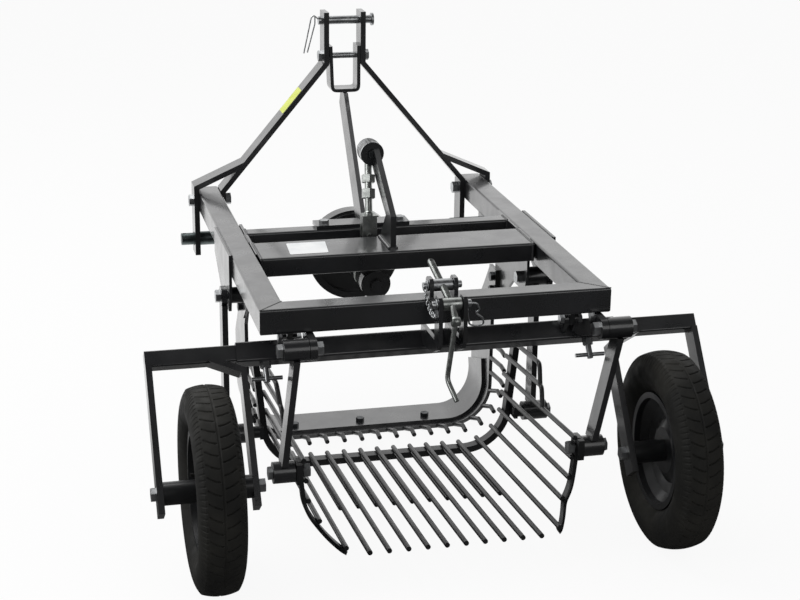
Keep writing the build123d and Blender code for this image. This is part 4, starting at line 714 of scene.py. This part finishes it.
# ---------------------------------------------------------------- headstock's brace and strap, post's bush
BRACE_FOOT = np.array([-35.0, 540.0, 8.0])
BRACE_TOP = np.array([0.0, 908.0, 222.0])
BRACE_T = 10.0
BRACE_W = 40.0
BRACE_EDGE = (0.94, 0.98)          # its edges are broken from these shares of its thickness and width
FOOT_PLATE = ((-138.0, 68.0), (516.0, 564.0), (0.0, 8.0))    # its ranges along X, Y and Z
PLATE_EDGE = 0.8
MAST_STRAP_T = 8.0
MAST_STRAP_Z = (226.0, 330.0)      # bottom of the strap's U, and the top of its legs
LEG_LEAN = 4.0                     # the left leg's foot is this much nearer to the middle than its top
BUSH = np.array([-18.0, 528.0, 164.0])     # where the stay rod meets the post
BUSH_RING = (3.0, 25.7)            # length and radius
BUSH_RING_Y = (-20.0, 2.0, 12.0)   # from the bush's middle
BUSH_NUT_Y = -29.0
BUSH_NUT = [(0, 8), (1, 9), (8, 9)]


def boxed(ranges):
    """Rings of a plate given by its ranges along X, Y and Z, with its upright edges broken."""
    (x0, x1), (y0, y1), (z0, z1) = ranges
    ease = PLATE_EDGE
    outline = [(x0 + ease, y0), (x1 - ease, y0), (x1, y0 + ease), (x1, y1 - ease),
               (x1 - ease, y1), (x0 + ease, y1), (x0, y1 - ease), (x0, y0 + ease)]
    return np.array([[(x, y, z) for x, y in outline] for z in (z0, z1)])


def brace():
    """Flat bar on edge, cut level at the foot plate and under the strap, leaning sideways between them.

    A level section, as deep as the bar's width seen along the slope, is moved in a straight line
    from the foot to the top, and what would pass the top's Y is cut off.
    """
    run, rise = (BRACE_TOP - BRACE_FOOT)[1:]
    deep = BRACE_W * math.hypot(run, rise) / rise / 2
    thick, wide = BRACE_EDGE
    section = np.array([(-thick, -1), (thick, -1), (1, -wide), (1, wide),
                        (thick, 1), (-thick, 1), (-1, wide), (-1, -wide)])
    level = np.stack([section[:, 0] * BRACE_T / 2, section[:, 1] * deep, 0 * section[:, 0]], axis=1)
    t = np.linspace(0, 1, 9)[:, None, None]
    rings = BRACE_FOOT + t * (BRACE_TOP - BRACE_FOOT) + level
    rings[..., 1] = np.minimum(rings[..., 1], BRACE_TOP[1])
    return Shape().tube(rings).tube(boxed(FOOT_PLATE))


def mast_strap():
    """Flat bar carried round a U between the headstock's bars, its normal square to the U and to Y."""
    low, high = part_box("mast_strap")
    half = (high.x - low.x) * 500 - MAST_STRAP_T / 2
    middle_y = (low.y + high.y) * 500 - DATUM[1] * 1000
    bottom, top = MAST_STRAP_Z
    corners = [(-half, middle_y, top), (LEG_LEAN - half, middle_y, bottom),
               (half, middle_y, bottom), (half, middle_y, top)]
    line = softened(resampled(corners, 1.5), 40)
    normal = unit(np.cross(np.gradient(line, axis=0), (0, 1, 0)))
    return Shape().tube(flat_bar(line, normal, (high.y - low.y) * 1000, MAST_STRAP_T))


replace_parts(brace().piece("leaning_brace", "frame", black_coat, "black_paint", 30), "mast_brace")
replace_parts(mast_strap().piece("bent_mast_strap", "frame", black_coat, "black_paint", 30), "mast_strap")

ringed("post_bush_rings", "frame", [(BUSH + (0, y, 0), (0, 1, 0), *BUSH_RING) for y in BUSH_RING_Y])
bush_nut = turned(BUSH + (0, BUSH_NUT_Y, 0), BUSH, BUSH_NUT, 24, (1, 2))
Shape().tube(bush_nut).piece("post_bush_nut", "frame", dark_steel, "zinc_plate", 25)

# ---------------------------------------------------------------- welds
RIPPLE = 3.2                       # length of a bead's ripples
RIPPLE_HEIGHT = 0.12               # as a share of the bead's radius
BEAD_END = 0.4                     # radius of a bead's ends, as a share of its own


def beads(name, body, runs):
    """Weld beads: a round profile carried along each run, whose radius ripples.

    At a distance s it is r (1 + RIPPLE_HEIGHT cos(2 pi s / RIPPLE)).
    """
    shape = Shape()
    for radius, corners in runs:
        path = softened(resampled(corners, RIPPLE / 3), 3)
        s = np.arange(len(path)) * RIPPLE / 3
        r = radius * (1 + RIPPLE_HEIGHT * np.cos(2 * math.pi * s / RIPPLE))
        r[0] = r[-1] = radius * BEAD_END
        direction = path[-1] - path[0]
        up = (1, 0, 0) if abs(direction[0]) < np.abs(direction[1:]).max() else (0, 1, 1)
        shape.tube(carried(path, r, 8, up))
    shape.piece(name, body, bead_coat, "black_paint", 60)


SIDE_RUNS = [                      # (radius, corners) of the beads on the right rail
    (3.0, [(289, 444, -1), (289, 324, -1), (289, 324, -39)]),
    (3.0, [(289, 552, -1), (289, 512, -1), (289, 512, -39)]),
    (2.0, [(345, 362, -1), (345, 578, -1)]),
    (2.0, [(295, 446, -1), (295, 510, -1)]),
    (1.4, [(345, 0.5, -0.4), (295, 49.5, -0.4)]),
]
MIDDLE_RUNS = [                    # and of those at the stay post's foot and the bearing plates
    (4.0, [(-17, 342, 1), (-17, 438, 1)]),
    (4.0, [(-3, 342, 1), (-3, 438, 1)]),
    (3.0, [(-70, 410, -40), (6, 410, -40)]),
    (3.0, [(-70, 424, -40), (6, 424, -40)]),
]
left_runs = [(radius, [(-x, y, z) for x, y, z in corners]) for radius, corners in SIDE_RUNS]
beads("weld_beads_frame", "frame", SIDE_RUNS + left_runs + MIDDLE_RUNS)

# ---------------------------------------------------------------- studio
EYE_SHARE = 0.92                   # share of plain white in the paper that the eye sees
ROOM_LIGHT = 0.55                  # the room's own light on the object
DARK_SIDE_AND_FLOOR_SHADOW = 0.07                   # the room's dark half in a reflection, and the floor's painted shadow under the machine
AIR_TURN = (0.0, 0.7)              # Y of a direction where the room turns from dark to white
FLOOR_SHADOW_TURN = (0.0, 0.6)            # and Y in metres where the floor does: its glow in reflections is dark under the machine, a painted shadow
FLOOR_HALF = 30.0


def reflection_glow_and_floor_shadow(tree, place, reach):
    """Brightness of the room in a reflection, and on the floor a painted shadow: it rises evenly with the
    place's Y over reach.
    """
    along = add(tree, "ShaderNodeSeparateXYZ", {"Vector": place}).outputs["Y"]
    turn = {"Value": along, "From Min": reach[0], "From Max": reach[1], "To Min": DARK_SIDE_AND_FLOOR_SHADOW}
    return add(tree, "ShaderNodeMapRange", turn).outputs["Result"]


def joined(tree, first, second, operation="MAXIMUM"):
    """Two factors joined by one operation: the larger of them, or their product."""
    return add(tree, "ShaderNodeMath", {0: first, 1: second}, operation=operation).outputs[0]


def studio_white(name):
    """Backdrop paper: white with the object's shadow to the eye; in reflections it glows, with a painted
    shadow that darkens it under the machine.
    """
    finish = bpy.data.materials.new(name)
    finish.use_nodes = True
    tree = finish.node_tree
    tree.nodes.clear()
    path = add(tree, "ShaderNodeLightPath")
    paper = add(tree, "ShaderNodeBsdfDiffuse", {"Color": linear("#e9e9e9")})
    white = add(tree, "ShaderNodeEmission")
    share = joined(tree, path.outputs["Is Camera Ray"], EYE_SHARE, "MULTIPLY")
    seen = add(tree, "ShaderNodeMixShader", {0: share, 1: paper.outputs[0], 2: white.outputs[0]})
    # Painted shadow: the floor's glow in reflections is dark under the machine and white beyond it.
    painted_floor_shadow = reflection_glow_and_floor_shadow(tree, add(tree, "ShaderNodeTexCoord").outputs["Object"], FLOOR_SHADOW_TURN)
    mirrored = add(tree, "ShaderNodeEmission", {"Strength": painted_floor_shadow})
    last = {0: path.outputs["Is Glossy Ray"], 1: seen.outputs[0], 2: mirrored.outputs[0]}
    add(tree, "ShaderNodeOutputMaterial", {"Surface": add(tree, "ShaderNodeMixShader", last).outputs[0]})
    return finish


floor_mesh = bpy.data.meshes.new("floor")
floor_corners = [(x * FLOOR_HALF, y * FLOOR_HALF, 0) for x, y in ((-1, -1), (1, -1), (1, 1), (-1, 1))]
floor_mesh.from_pydata(floor_corners, [], [(0, 1, 2, 3)])
floor = bpy.data.objects.new("floor", floor_mesh)
bpy.context.scene.collection.objects.link(floor)
floor_mesh.materials.append(studio_white("studio_floor_paper"))

world = bpy.data.worlds.new("studio")
bpy.context.scene.world = world
world.use_nodes = True
sky = world.node_tree
sky.nodes.clear()
rays = add(sky, "ShaderNodeLightPath")
seen = joined(sky, rays.outputs["Is Camera Ray"], rays.outputs["Is Transmission Ray"])
ahead = reflection_glow_and_floor_shadow(sky, add(sky, "ShaderNodeTexCoord").outputs["Generated"], AIR_TURN)
mirrored = joined(sky, rays.outputs["Is Glossy Ray"], ahead, "MULTIPLY")
lit = joined(sky, rays.outputs["Is Diffuse Ray"], ROOM_LIGHT, "MULTIPLY")
strength = joined(sky, joined(sky, seen, mirrored), lit)
room = add(sky, "ShaderNodeBackground", {"Color": linear("#ffffff"), "Strength": strength})
add(sky, "ShaderNodeOutputWorld", {"Surface": room.outputs[0]})


def softbox(name, place, aim, size, power):
    """Square area lamp that faces a point."""
    lamp = bpy.data.lights.new(name, "AREA")
    lamp.energy = power
    lamp.size = size
    box = bpy.data.objects.new(name, lamp)
    bpy.context.scene.collection.objects.link(box)
    box.location = place
    box.rotation_euler = (Vector(aim) - Vector(place)).to_track_quat("-Z", "Y").to_euler()


# Places and sizes in metres, and power in watts: the main light above, a fill and a weak front light.
softbox("softbox_above", (-1.5, 1.3, 3.5), (0, 0, 0.4), 2.6, 66)
softbox("softbox_left", (-3.4, -1.2, 1.9), (0, 0, 0.4), 2.0, 34)
softbox("softbox_front", (1.2, -3.8, 2.2), (0, 0, 0.3), 2.2, 16)

# ---------------------------------------------------------------- camera
LENS = 77.94
CAMERA_PLACE = (-812.5, -3013.5, 1027.0)
CAMERA_RIGHT = (0.97228, -0.233581, 0.010551)
CAMERA_FORWARD = (0.225043, 0.922584, -0.313359)

camera_data = bpy.data.cameras.new("camera")
camera_data.sensor_width = 36.0
camera_data.lens = LENS
camera_data.clip_end = 100.0
camera = bpy.data.objects.new("camera", camera_data)
bpy.context.scene.collection.objects.link(camera)
right = Vector(CAMERA_RIGHT).normalized()
forward = Vector(CAMERA_FORWARD).normalized()
upwards = right.cross(forward).normalized()
facing = Matrix((right, upwards, -forward)).transposed().to_4x4()
camera.matrix_world = Matrix.Translation(Vector(metres(CAMERA_PLACE))) @ facing
bpy.context.scene.camera = camera

bpy.context.scene.view_settings.view_transform = "Standard"
